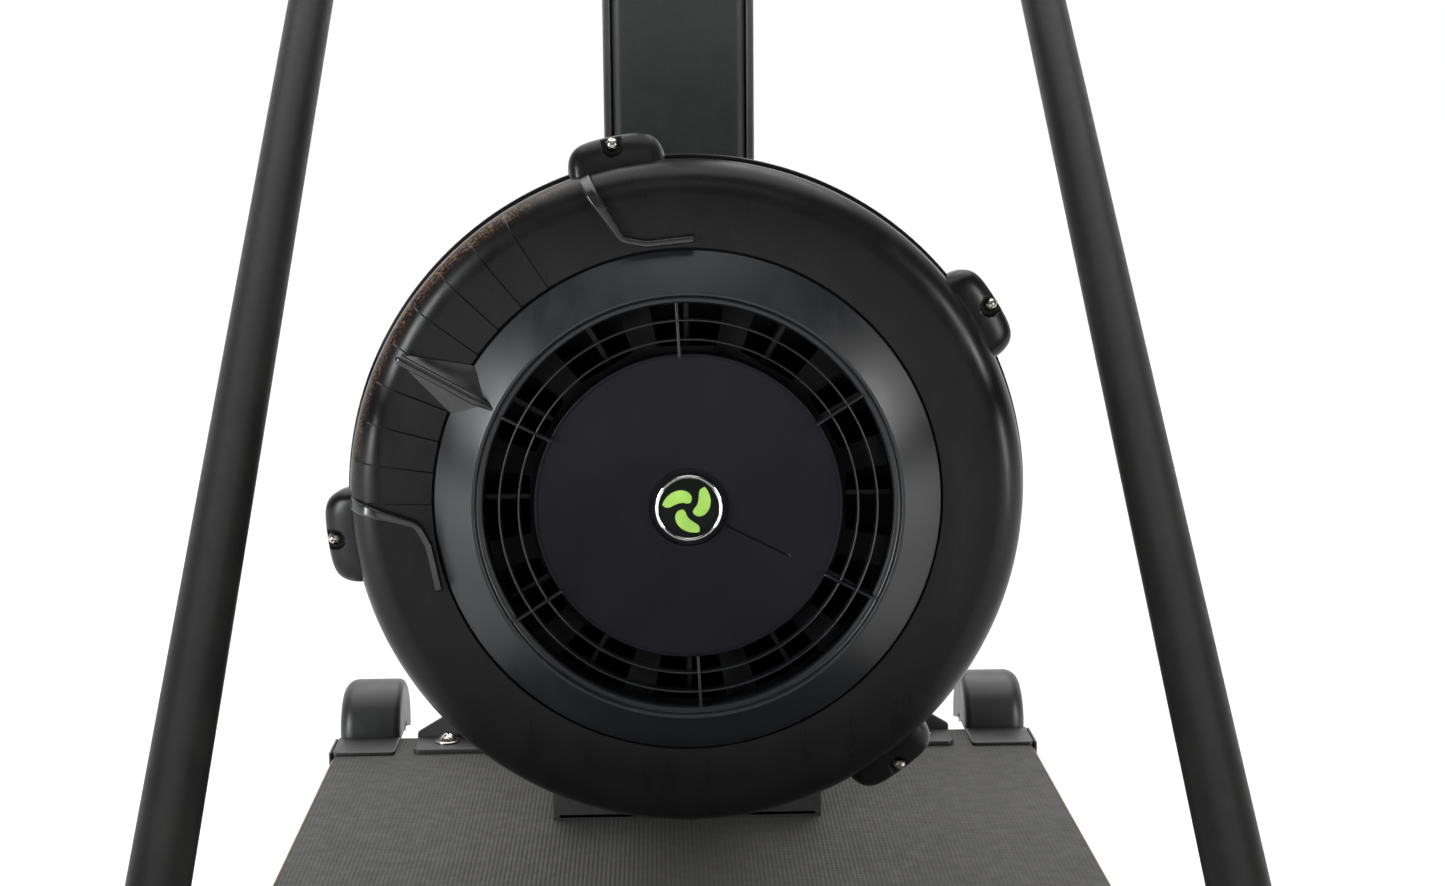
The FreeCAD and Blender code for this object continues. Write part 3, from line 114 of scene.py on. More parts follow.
class Graph:
    """Builds one material's nodes from a finish."""

    def __init__(self, finish: Finish) -> None:
        """Starts the material and wires its pattern.

        Args:
            finish: The finish to build.
        """
        self.finish = finish
        self.material = bpy.data.materials.new(finish.name)
        self.material.use_nodes = True
        self.tree = self.material.node_tree
        self.shader = self.tree.nodes["Principled BSDF"]
        self.place = self.add("ShaderNodeTexCoord").outputs["Object"]
        sockets = self.shader.inputs
        sockets["Metallic"].default_value = finish.metallic
        sockets["Coat Weight"].default_value = finish.coat
        sockets["Coat Roughness"].default_value = COAT_ROUGH
        sockets["Specular IOR Level"].default_value = finish.specular
        sockets["Sheen Weight"].default_value = finish.sheen
        sockets["Sheen Roughness"].default_value = SHEEN_ROUGH
        getattr(self, finish.pattern.name.lower())()

    def add(self, kind: str, **inputs: object) -> bpy.types.Node:
        """Adds a node and sets or links its inputs.

        Args:
            kind: The node's type name.
            inputs: Input values by name; underscores stand for spaces, a socket value is linked.

        Returns:
            The new node.
        """
        node = self.tree.nodes.new(kind)
        for name, value in inputs.items():
            self.feed(node.inputs[name.replace("_", " ")], value)
        return node

    def feed(self, socket: bpy.types.NodeSocket, value: object) -> None:
        """Links a socket to another socket, or sets it to a value."""
        if isinstance(value, bpy.types.NodeSocket):
            self.tree.links.new(value, socket)
        else:
            socket.default_value = value

    def noise(self, size_mm: float, detail: float = 3.0, stretch: Sequence[float] = (1, 1, 1)
              ) -> bpy.types.NodeSocket:
        """Returns a noise value.

        Args:
            size_mm: Size of its largest features.
            detail: Octaves of finer noise.
            stretch: Scale of the coordinates along each axis.

        Returns:
            A socket from 0 to 1.
        """
        moved = self.add("ShaderNodeMapping", Vector=self.place, Scale=tuple(stretch)).outputs[0]
        made = self.add("ShaderNodeTexNoise", Vector=moved, Scale=1 / (size_mm * MM), Detail=detail)
        return made.outputs[0]

    def math(self, kind: str, first: object, second: object = 0.0) -> bpy.types.NodeSocket:
        """Returns first (kind) second, each a number or a socket."""
        node = self.tree.nodes.new("ShaderNodeMath")
        node.operation = kind
        self.feed(node.inputs[0], first)
        self.feed(node.inputs[1], second)
        return node.outputs[0]

    def spread(self, value: bpy.types.NodeSocket, low: float, high: float, start: float = 0.3,
               end: float = 0.7) -> bpy.types.NodeSocket:
        """Returns value mapped from start..end to low..high, clamped."""
        node = self.add("ShaderNodeMapRange", Value=value)
        set_range(node, start, end, low, high)
        return node.outputs[0]

    def blend(self, factor: bpy.types.NodeSocket, first: object, second: object
              ) -> bpy.types.NodeSocket:
        """Returns a colour between two colours or sockets by the factor."""
        node = self.tree.nodes.new("ShaderNodeMix")
        node.data_type = "RGBA"
        self.tree.links.new(factor, node.inputs[0])
        for socket, value in ((node.inputs[6], first), (node.inputs[7], second)):
            self.feed(socket, (*value, 1.0) if isinstance(value, tuple) else value)
        return node.outputs[2]

    def paint(self, color: bpy.types.NodeSocket, rough: Optional[bpy.types.NodeSocket] = None) -> None:
        """Links the colour and, when given, the roughness."""
        self.tree.links.new(color, self.shader.inputs["Base Color"])
        self.feed(self.shader.inputs["Roughness"], self.finish.rough if rough is None else rough)

    def emboss(self, height: bpy.types.NodeSocket, depth_mm: float) -> None:
        """Links a bump of a given depth to the shader, over any bump that is there.

        Args:
            height: Height from 0 to 1.
            depth_mm: The real depth of the relief.
        """
        bump = self.add("ShaderNodeBump", Height=height, Strength=1.0, Distance=depth_mm * MM)
        normal = self.shader.inputs["Normal"]
        if normal.links:
            self.tree.links.new(normal.links[0].from_socket, bump.inputs["Normal"])
        self.tree.links.new(bump.outputs[0], normal)

    def wear(self, color: bpy.types.NodeSocket) -> bpy.types.NodeSocket:
        """Lays rubbed speckles over a colour where the piece's wear attribute is high.

        Args:
            color: The unworn colour.

        Returns:
            The colour with its wear.
        """
        if self.finish.worn is None:
            return color
        mask = self.tree.nodes.new("ShaderNodeAttribute")
        mask.attribute_name = "wear"
        specks = self.spread(self.noise(1.6, 5.0), 0, 1, 0.5, 0.62)
        return self.blend(self.math("MULTIPLY", mask.outputs["Fac"], specks), color, self.finish.worn)

    def moulded(self) -> None:
        """Eroded grain, slow colour drift and faint rub marks."""
        f = self.finish
        color = self.blend(self.spread(self.noise(45, 4), 0, 1), f.color, f.shade)
        rub = self.spread(self.noise(14, 6, (1, 1, 0.25)), f.rough - 0.05, f.rough + 0.07)
        self.paint(self.wear(color), rub)
        self.emboss(self.noise(f.grain_mm, 2), f.relief_mm)

    def coated(self) -> None:
        """Orange-peel skin of a powder coat with dust-fine colour grain."""
        f = self.finish
        color = self.blend(self.spread(self.noise(30, 3), 0, 1), f.color, f.shade)
        self.paint(self.wear(color), self.spread(self.noise(6, 4), f.rough - 0.04, f.rough + 0.06))
        self.emboss(self.noise(f.grain_mm * 2.4, 2), f.relief_mm)

    def hide(self) -> None:
        """Cells of a leather grain from the edges of a Voronoi pattern."""
        f = self.finish
        cells = self.add("ShaderNodeTexVoronoi", Vector=self.place, Scale=1 / (f.grain_mm * MM))
        cells.feature = "DISTANCE_TO_EDGE"
        color = self.blend(self.spread(self.noise(60, 5), 0, 1), f.color, f.shade)
        self.paint(color, self.spread(self.noise(9, 4), f.rough - 0.05, f.rough + 0.06))
        self.emboss(self.spread(cells.outputs["Distance"], 0, 1, 0.0, 0.3), f.relief_mm)

    def ribbed(self) -> None:
        """Lattice of pyramids: the product of two triangle waves, with stronger rows in depth; the pyramid
        tops carry an uneven painted highlight.
        """
        f = self.finish
        split = self.add("ShaderNodeSeparateXYZ", Vector=self.place)
        wave = [self.math("PINGPONG", self.math("DIVIDE", axis, f.grain_mm * MM), 0.5)
                for axis in split.outputs[:2]]
        rows = self.math("MULTIPLY", wave[0], 2.0)
        cells = self.math("MULTIPLY", rows, self.math("ADD", self.math("MULTIPLY", wave[1], 1.1), 0.45))
        drift = self.spread(self.noise(70, 4), 0, 1)
        base = self.blend(drift, f.color, f.shade)
        # Painted highlight: the pyramid tops blend unevenly towards a lighter copy of the mat's colour.
        peak_highlight = self.math("MULTIPLY", cells, self.spread(self.noise(5, 4), 0.25, 0.9))
        lit = tuple(min(1.0, part * 1.9) for part in f.color)
        self.paint(self.blend(peak_highlight, base, lit), self.spread(self.noise(9), f.rough - 0.06, f.rough + 0.1))
        self.emboss(cells, f.relief_mm)

    def ply(self) -> None:
        """Veneers as bands across the height, each with its own tone, and grain along the edge."""
        f = self.finish
        split = self.add("ShaderNodeSeparateXYZ", Vector=self.place)
        band = self.math("PINGPONG", self.math("DIVIDE", split.outputs[2], f.grain_mm * MM), 0.5)
        layers = self.spread(band, 0, 1, 0.2, 0.3)
        grain = self.noise(9, 7, (0.25, 0.25, 4))
        tone = self.blend(layers, f.color, f.shade)
        dark = tuple(part * 0.55 for part in f.shade)
        self.paint(self.blend(self.spread(grain, 0, 0.6), tone, dark))
        self.emboss(grain, f.relief_mm)

    def woven(self) -> None:
        """Twill of a webbing: two waves across each other on the UV map, which is in millimetres; the low
        parts of the weave are darker, as painted shade.
        """
        f = self.finish
        uv = self.tree.nodes.new("ShaderNodeUVMap")
        split = self.add("ShaderNodeSeparateXYZ", Vector=uv.outputs[0])
        diagonal = self.math("ADD", split.outputs[0], split.outputs[1])
        wave = [self.math("PINGPONG", self.math("DIVIDE", value, f.grain_mm), 0.5)
                for value in (diagonal, split.outputs[1])]
        height = self.math("ADD", wave[0], wave[1])
        # Painted shade: the low parts of the weave take the darker colour.
        self.paint(self.blend(height, f.shade, f.color), self.spread(self.noise(3), f.rough - 0.1, f.rough))
        self.emboss(height, f.relief_mm)

    def brushed(self) -> None:
        """Fine turning marks, as noise that is drawn out along one axis."""
        f = self.finish
        marks = self.noise(1.2, 4, (1, 1, 9))
        self.paint(self.blend(self.spread(marks, 0, 1), f.color, f.shade),
                   self.spread(marks, f.rough - 0.08, f.rough + 0.1))
        self.emboss(marks, f.relief_mm)

    def smooth(self) -> None:
        """Polish with faint prints that change only the roughness."""
        f = self.finish
        prints = self.noise(11, 5)
        self.paint(self.blend(self.spread(prints, 0, 1), f.color, f.shade),
                   self.spread(prints, max(0.02, f.rough - 0.03), f.rough + 0.05))


SHELL = Finish("satin_black_shell", (0.0042, 0.0042, 0.0048), (0.0066, 0.0064, 0.0064), 0.3, specular=0.2,
               grain_mm=0.5, relief_mm=0.006, worn=(0.17, 0.085, 0.04))
# Stop ribs and damper lever: the shell's satin black made lighter, a painted highlight for the light that
# their rounded tops catch.
SATIN_PAINTED_HIGHLIGHT = Finish("satin_painted_highlight", (0.0075, 0.0077, 0.0083), (0.0105, 0.0105, 0.011), 0.25, specular=0.62,
                 grain_mm=0.5, relief_mm=0.005)
RING = Finish("damper_satin", (0.0062, 0.0069, 0.0085), (0.0084, 0.0092, 0.011), 0.36, grain_mm=0.45,
              relief_mm=0.008)
DISC = Finish("disc_matt", (0.0062, 0.0062, 0.0088), (0.0088, 0.0084, 0.0112), 0.48, specular=0.14,
              grain_mm=0.4, relief_mm=0.008)
# Vent plate behind the grille: a black darker than the shell, painted shade for the shadow inside the
# housing.
BLACK_PAINTED_SHADE = Finish("matt_black_painted_shade", (0.0025, 0.0025, 0.003), (0.004, 0.004, 0.0045), 0.75, specular=0.15)
COVER = Finish("column_hide", (0.014, 0.015, 0.015), (0.019, 0.0205, 0.0205), 0.48, specular=0.35,
               grain_mm=1.3, relief_mm=0.06, pattern=Pattern.HIDE)
RAIL = Finish("rail_coat", (0.03, 0.029, 0.027), (0.04, 0.038, 0.035), 0.42, pattern=Pattern.COATED)
TUBE = Finish("tube_coat", (0.0058, 0.0056, 0.0055), (0.0092, 0.0086, 0.0081), 0.44, specular=0.15,
              grain_mm=0.5, relief_mm=0.02, pattern=Pattern.COATED)
PLATE = Finish("plate_coat", (0.014, 0.014, 0.015), (0.02, 0.02, 0.0205), 0.48, relief_mm=0.03,
               pattern=Pattern.COATED)
FENDER = Finish("fender_plastic", (0.011, 0.0113, 0.012), (0.0155, 0.0157, 0.016), 0.4, grain_mm=0.6,
                relief_mm=0.012)
MAT = Finish("ribbed_mat", (0.036, 0.0352, 0.0328), (0.046, 0.0446, 0.0412), 0.66, specular=0.35,
             grain_mm=3.3, relief_mm=0.55, pattern=Pattern.RIBBED)
PLYWOOD = Finish("plywood_edge", (0.62, 0.43, 0.25), (0.42, 0.26, 0.14), 0.55, grain_mm=2.8,
                 relief_mm=0.05, pattern=Pattern.PLY)
RUBBER = Finish("black_rubber", (0.012, 0.012, 0.0125), (0.019, 0.0188, 0.018), 0.68, specular=0.3,
                grain_mm=1.1, relief_mm=0.04)
CHROME = Finish("chrome", (0.78, 0.78, 0.8), (0.7, 0.7, 0.72), 0.09, 1.0, pattern=Pattern.SMOOTH)
SCREW = Finish("screw_nickel", (0.62, 0.60, 0.57), (0.45, 0.43, 0.4), 0.22, 1.0,
               pattern=Pattern.SMOOTH)
STEEL = Finish("turned_steel", (0.5, 0.5, 0.51), (0.4, 0.4, 0.42), 0.34, 1.0, relief_mm=0.01,
               pattern=Pattern.BRUSHED)
CAST = Finish("fan_coated", (0.008, 0.008, 0.0085), (0.005, 0.005, 0.0055), 0.55, 0.0, relief_mm=0.02,
              pattern=Pattern.BRUSHED)
FIELD = Finish("badge_field", (0.0035, 0.0045, 0.004), (0.006, 0.007, 0.006), 0.25, specular=0.08,
               pattern=Pattern.SMOOTH)
GREEN = Finish("badge_green", (0.30, 0.56, 0.07), (0.38, 0.66, 0.11), 0.3,
               pattern=Pattern.SMOOTH)
ACETAL = Finish("pulley_acetal", (0.62, 0.62, 0.58), (0.52, 0.52, 0.49), 0.4)
NYLON = Finish("cord_nylon", (0.02, 0.02, 0.022), (0.05, 0.05, 0.052), 0.75, sheen=0.3,
               grain_mm=1.4, relief_mm=0.15)
WEBBING = Finish("strap_webbing", (0.045, 0.045, 0.05), (0.012, 0.012, 0.014), 0.85, sheen=0.4,
                 grain_mm=1.6, relief_mm=0.35, pattern=Pattern.WOVEN)
THREAD = Finish("strap_thread", (0.16, 0.16, 0.17), (0.1, 0.1, 0.11), 0.7, grain_mm=0.5,
                relief_mm=0.05)
GRIP = Finish("grip_rubber", (0.018, 0.018, 0.019), (0.026, 0.026, 0.026), 0.62, specular=0.35,
              grain_mm=1.0, relief_mm=0.07, pattern=Pattern.HIDE)
CASE = Finish("monitor_case", (0.035, 0.037, 0.041), (0.045, 0.047, 0.052), 0.5, grain_mm=0.8,
              relief_mm=0.03)
GLASS = Finish("display_window", (0.16, 0.19, 0.15), (0.19, 0.22, 0.175), 0.08, coat=1.0,
               pattern=Pattern.SMOOTH)
KEY = Finish("key_rubber", (0.22, 0.24, 0.27), (0.26, 0.28, 0.31), 0.55, grain_mm=0.8, relief_mm=0.02)


# ------------------------------------------------------------------------------------- surfaces

@dataclass(frozen=True)
class Seat:
    """A place with its own three directions, into which a drawing is put."""

    origin: tuple[float, float, float] = (0, 0, 0)
    right: tuple[float, float, float] = (1, 0, 0)
    up: tuple[float, float, float] = (0, 1, 0)
    out: tuple[float, float, float] = (0, 0, 1)

    def world(self, points: Array) -> Array:
        """Returns origin + x times right + y times up + z times out for an array of points."""
        return np.asarray(self.origin) + np.asarray(points) @ np.array([self.right, self.up, self.out])

    def at(self, x: float, y: float, z: float) -> "Seat":
        """Returns the same directions at another place given in this seat."""
        return Seat(tuple(self.world(np.array([x, y, z]))), self.right, self.up, self.out)

    def spun(self, degrees: float) -> "Seat":
        """Returns the seat turned about its out direction."""
        turn = math.radians(degrees)
        right, up = np.array(self.right), np.array(self.up)
        return Seat(self.origin, tuple(math.cos(turn) * right + math.sin(turn) * up),
                    tuple(math.cos(turn) * up - math.sin(turn) * right), self.out)


TOP = Seat()
SIDE = Seat(right=(0, 1, 0), up=(0, 0, 1), out=(1, 0, 0))
FRONT = Seat(right=(1, 0, 0), up=(0, 0, 1), out=(0, -1, 0))
HUB = Seat((0, 120, 331), (1, 0, 0), (0, 0, 1), (0, -1, 0))


class Skin:
    """The surface of one piece, gathered from grids and flat faces."""

    def __init__(self) -> None:
        """Starts with nothing."""
        self.verts: list[Array] = []
        self.uvs: list[Array] = []
        self.marks: list[Array] = []
        self.faces: list[list[int]] = []
        self.count = 0

    def _take(self, verts: Array, uvs: Array, marks: Optional[Array]) -> None:
        """Keeps vertices with their UV places and wear."""
        self.verts.append(verts)
        self.uvs.append(uvs)
        self.marks.append(np.zeros(len(verts)) if marks is None else marks)
        self.count += len(verts)

    def grid(self, points: Array, width: float = 1.0, length: float = 1.0,
             marks: Optional[Array] = None) -> "Skin":
        """Adds a surface given as a grid of points; touching borders are merged later.

        Args:
            points: Array of (rows, columns, 3) in millimetres.
            width: What the UV map runs to along the columns.
            length: What the UV map runs to along the rows.
            marks: Wear from 0 to 1 at each point, if any.

        Returns:
            The skin itself.
        """
        rows, columns = points.shape[:2]
        index = np.arange(rows * columns).reshape(rows, columns) + self.count
        corners = (index[:-1, :-1], index[1:, :-1], index[1:, 1:], index[:-1, 1:])
        self.faces += np.stack(corners, -1).reshape(-1, 4).tolist()
        v, u = np.meshgrid(np.linspace(0, length, rows), np.linspace(0, width, columns), indexing="ij")
        self._take(points.reshape(-1, 3), np.stack([u.ravel(), v.ravel()], -1),
                   None if marks is None else marks.ravel())
        return self

    def flat(self, loop: Array) -> "Skin":
        """Adds one flat face with the corners of a loop."""
        self.faces.append((np.arange(len(loop)) + self.count).tolist())
        self._take(loop, loop[:, :2], None)
        return self

    def ends(self, points: Array) -> "Skin":
        """Adds the flat faces that close a pipe, given as the pipe's own grid of points."""
        return self.flat(points[0, :-1][::-1]).flat(points[-1, :-1])

    def cushion(self, seat: Seat, top: Array, low: Array) -> "Skin":
        """Adds the body between two grids in a seat: both faces and the four walls at their borders."""
        self.grid(seat.world(top)).grid(seat.world(low[::-1]))
        for line in (0, -1):
            self.grid(seat.world(np.stack([top[:, line], low[:, line]], 1)))
            self.grid(seat.world(np.stack([top[line], low[line]], 1)))
        return self

    def slab(self, seat: Seat, outline: Array, low: float, high: float, edge: float = 1.0,
             steps: int = 3, back_edge: Optional[float] = None) -> "Skin":
        """Adds an outline pushed out of its seat, with rounded rims.

        Near each end the outline shrinks by edge * (1 - sin t) while the height moves by
        edge * (1 - cos t), t from 0 to a quarter turn, which rounds the rim.

        Args:
            seat: Where the outline lies.
            outline: Corners as (count, 2).
            low: Height of the back face.
            high: Height of the front face.
            edge: Radius of the rim.
            steps: Steps round the rim.
            back_edge: Radius of the back rim, if it differs.

        Returns:
            The skin itself.
        """
        turn = np.linspace(0, np.pi / 2, steps + 1)
        back = edge if back_edge is None else back_edge
        shrink = np.concatenate([back * (1 - np.sin(turn)), edge * (1 - np.sin(turn[::-1]))])
        level = np.concatenate([low + back * (1 - np.cos(turn)), high - edge * (1 - np.cos(turn[::-1]))])
        rings = np.stack([np.column_stack([inset(outline, s), np.full(len(outline), z)])
                          for s, z in zip(shrink, level)])
        rings = seat.world(rings)
        around = float(np.linalg.norm(np.diff(outline, axis=0), axis=1).sum())
        self.grid(np.concatenate([rings, rings[:, :1]], axis=1), around, high - low)
        return self.flat(rings[0][::-1]).flat(rings[-1])

    def lathe(self, seat: Seat, profile: Array, angles: Optional[Array] = None,
              relief: Optional[Callable[[Array, Array], Array]] = None,
              wear: Optional[Callable[[Array, Array, Array], Array]] = None) -> "Skin":
        """Adds a profile turned round the seat's out direction.

        A point is (radius * cos a, radius * sin a, height); a relief moves it along the profile's
        normal by a function of the angle and the radius.

        Args:
            seat: The axis and its zero.
            profile: (count, 2) of radius and height.
            angles: Angles in degrees, a full turn if left out.
            relief: Depth in millimetres from angle and radius.
            wear: Wear from angle, radius and height.

        Returns:
            The skin itself.
        """
        angles = np.linspace(0, 360, 97) if angles is None else angles
        slope = np.gradient(profile, axis=0)
        if np.allclose(profile[0], profile[-1]):
            slope[0] = slope[-1] = profile[1] - profile[-2]
        normal = np.stack([slope[:, 1], -slope[:, 0]], -1)
        normal /= np.maximum(np.linalg.norm(normal, axis=1, keepdims=True), TINY)
        turn, radius = np.meshgrid(angles, profile[:, 0], indexing="ij")
        height = np.broadcast_to(profile[:, 1], radius.shape)
        marks = None if wear is None else wear(turn, radius, height)
        if relief is not None:
            depth = relief(turn, radius)
            radius = radius + depth * normal[:, 0]
            height = height + depth * normal[:, 1]
        turn = np.radians(turn)
        points = np.concatenate([polar(radius, turn), height[..., None]], -1)
        return self.grid(seat.world(points), 1.0, 1.0, marks)

    def sweep(self, path: Array, section: Array, side: Array, width: float = 1.0,
              length: float = 1.0, scale: Optional[Array] = None) -> "Skin":
        """Adds a section carried along a path, closed at both ends.

        A point is path + a * side + b * (tangent x side), where (a, b) runs round the section.

        Args:
            path: (count, 3) points.
            section: Closed loop as (count, 2).
            side: Direction of the section's first axis, one for all or one for each point.
            width: What the UV map runs to round the section.
            length: What the UV map runs to along the path.
            scale: Size of the section at each point, if it changes.

        Returns:
            The skin itself.
        """
        tangent = np.gradient(path, axis=0)
        tangent /= np.linalg.norm(tangent, axis=1, keepdims=True)
        across = np.broadcast_to(np.asarray(side, float), path.shape)
        across = across - (across * tangent).sum(1, keepdims=True) * tangent
        across = across / np.linalg.norm(across, axis=1, keepdims=True)
        over = np.cross(tangent, across)
        size = np.ones(len(path)) if scale is None else scale
        loop = close(section)
        points = (path[:, None] + size[:, None, None] * (loop[None, :, :1] * across[:, None]
                                                         + loop[None, :, 1:] * over[:, None]))
        return self.grid(points, width, length).ends(points)

    def piece(self, name: str, finish: Finish, body: str, slot: str, *stands_for: str,
              crease: float = 32.0, loose: bool = False) -> bpy.types.Object:
        """Makes the mesh object, dresses it and hands it to the frame.

        Args:
            name: Name of the piece.
            finish: Its finish.
            body: The CAD body that it moves with.
            slot: Name of a material slot for the piece; not used.
            stands_for: CAD nodes that it replaces.
            crease: Angle in degrees above which an edge stays sharp.
            loose: True for a piece that is left unattached to any body.

        Returns:
            The object.
        """
        mesh = bpy.data.meshes.new(name)
        verts = np.concatenate(self.verts) * MM
        mesh.from_pydata(verts.tolist(), [], self.faces)
        corners = np.empty(len(mesh.loops), dtype=np.int32)
        mesh.loops.foreach_get("vertex_index", corners)
        layer = mesh.uv_layers.new(name="UVMap")
        layer.data.foreach_set("uv", np.concatenate(self.uvs)[corners].astype(np.float32).ravel())
        wear = mesh.attributes.new("wear", "FLOAT", "POINT")
        wear.data.foreach_set("value", np.concatenate(self.marks).astype(np.float32))
        work = bmesh.new()
        work.from_mesh(mesh)
        bmesh.ops.remove_doubles(work, verts=work.verts, dist=MERGE_REACH_M)
        bmesh.ops.dissolve_degenerate(work, edges=work.edges, dist=SLIVER_M)
        bmesh.ops.recalc_face_normals(work, faces=work.faces)
        work.to_mesh(mesh)
        work.free()
        mesh.shade_smooth()
        mesh.set_sharp_from_angle(angle=math.radians(crease))
        item = bpy.data.objects.new(name, mesh)
        bpy.context.scene.collection.objects.link(item)
        mesh.materials.append(finish.material())
        if not loose:
            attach(item, body)
        if stands_for:
            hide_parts(*stands_for)
        LOG.info("%s: %d faces, rides on %s", name, len(mesh.polygons), body)
        return item


def close(loop: Array) -> Array:
    """Returns a loop with its first point repeated at the end."""
    return np.concatenate([loop, loop[:1]])


def polar(radius: Array | float, turn: Array) -> Array:
    """Returns (radius * cos turn, radius * sin turn) as pairs, turn in radians."""
    return np.stack([radius * np.cos(turn), radius * np.sin(turn)], -1)


def is_clockwise(loop: Array) -> bool:
    """Tells whether a loop runs clockwise, from the sign of its area."""
    x, y = loop.T
    return bool((x * np.roll(y, -1) - y * np.roll(x, -1)).sum() < 0)


def inset(loop: Array, amount: float) -> Array:
    """Returns a loop moved inwards; each corner goes along the mean of its two edge normals.

    Args:
        loop: Anticlockwise corners as (count, 2).
        amount: Distance in millimetres.
    """
    ahead = np.roll(loop, -1, axis=0) - loop
    normal = np.stack([-ahead[:, 1], ahead[:, 0]], -1)
    normal /= np.maximum(np.linalg.norm(normal, axis=1, keepdims=True), TINY)
    before = np.roll(normal, 1, axis=0)
    scale = 1 + (normal * before).sum(1, keepdims=True)
    return loop + amount * (normal + before) / np.maximum(scale, 0.35)


def rounded(points: Sequence[Sequence[float]], radius: float | Sequence[float], steps: int = 6,
            closed: bool = True) -> Array:
    """Returns a polygon with its corners rounded.

    Each corner becomes the arc between its two tangent points a and b, which lie radius * tan(turn / 2)
    from it; a point of the arc is the centre plus the arms to a and b weighted by sin((1-s) turn) and
    sin(s turn). Two corners on one edge share its length in proportion.

    Args:
        points: Corners as pairs.
        radius: One radius, or one for each corner.
        steps: Steps round each corner.
        closed: Whether the last point joins the first.
    """
    corners = np.array(points, float)
    if closed and is_clockwise(corners):
        corners = corners[::-1]
        radius = radius if np.isscalar(radius) else list(radius)[::-1]
    radii = np.broadcast_to(np.asarray(radius, float), (len(corners),))
    back, ahead = np.roll(corners, 1, axis=0) - corners, np.roll(corners, -1, axis=0) - corners
    size = [np.linalg.norm(side, axis=1, keepdims=True) for side in (back, ahead)]
    back, ahead = back / size[0], ahead / size[1]
    turn = np.pi - np.arccos(np.clip((back * ahead).sum(1), -1, 1))
    want = radii * np.tan(turn / 2) + 1e-9
    reach = np.minimum(1, np.minimum(size[0][:, 0] / (want + np.roll(want, 1)),
                                     size[1][:, 0] / (want + np.roll(want, -1))))
    cut = (want * reach)[:, None]
    inward = ahead - (ahead * back).sum(1, keepdims=True) * back
    inward /= np.maximum(np.linalg.norm(inward, axis=1, keepdims=True), TINY)
    arc = cut / np.maximum(np.tan(turn / 2), 1e-6)[:, None]
    start, end = corners + back * cut, corners + ahead * cut
    centre = start + inward * arc
    s = np.linspace(0, 1, steps + 1)[None, :, None]
    bend = np.maximum(turn, 1e-4)[:, None, None]
    curve = centre[:, None] + (np.sin((1 - s) * bend) * (start - centre)[:, None]
                               + np.sin(s * bend) * (end - centre)[:, None]) / np.sin(bend)
    if closed:
        return curve.reshape(-1, 2)
    middle = curve[1:-1].reshape(-1, 2)
    return np.concatenate([corners[:1], middle, corners[-1:]])


def rectangle(x0: float, x1: float, y0: float, y1: float, radius: float | Sequence[float] = 2.0,
              steps: int = 6) -> Array:
    """Returns a rounded rectangle; radii go anticlockwise from its lower left corner."""
    return rounded([(x0, y0), (x1, y0), (x1, y1), (x0, y1)], radius, steps)


def circle(radius: float, count: int = 48) -> Array:
    """Returns a circle as a loop of points."""
    return polar(radius, np.arange(count) * 2 * np.pi / count)


def closed_profile(points: Sequence[Sequence[float]], radius: float | Sequence[float],
                   steps: int = 4) -> Array:
    """Returns a rounded loop whose last point repeats the first, for a lathe."""
    return close(rounded(points, radius, steps))


def side_name(side: int) -> str:
    """Returns left for a negative side and right for a positive one."""
    return "left" if side < 0 else "right"


def smoothstep(value: Array, low: float, high: float) -> Array:
    """Returns 0 below low, 1 above high and 3t^2 - 2t^3 between."""
    t = np.clip((value - low) / (high - low), 0, 1)
    return t * t * (3 - 2 * t)


def pan_screw(skin: Skin, seat: Seat, radius: float, height: float, turn: float = 0.0) -> None:
    """Adds a screw head: a dome with a cross recess.

    The dome is height * (1 - (r / radius)^2.6); inside the cross, where the distance to an arm's
    middle line is under its half width, the surface drops to the recess floor.

    Args:
        skin: The skin that takes it.
        seat: Where the head rests.
        radius: Radius of the head.
        height: Height of the head.
        turn: Angle of the recess in degrees.
    """
    roundness, arm_half, arm_taper, recess = 2.6, 0.15, 0.35, 0.55
    share = np.concatenate([np.linspace(0.02, 0.62, 15), np.linspace(0.66, 1, 8)])
    a, s = np.meshgrid(np.radians(np.linspace(0, 360, 97)), share, indexing="ij")
    plan = polar(s, a)
    to_arm = np.abs(plan).min(-1)
    cross = smoothstep(arm_half * (1 - arm_taper * s) - to_arm, -0.02, 0.05)
    cross *= 1 - smoothstep(s, 0.55, 0.6)
    z = height * (1 - s ** roundness - recess * cross)
    head = seat.spun(turn).world(np.concatenate([radius * plan, z[..., None]], -1))
    skin.grid(head).flat(head[:-1, 0]).flat(head[:-1, -1][::-1])


# ------------------------------------------------------------------------------- flywheel unit

def lug_curve(across: Array, half: float, out: float) -> Array:
    """Returns how far a lug stands out of the rim: out * (1 - |across / half|^5.5)^(1 / 2.2)."""
    return out * (1 - np.abs(across / half) ** 5.5) ** (1 / 2.2)


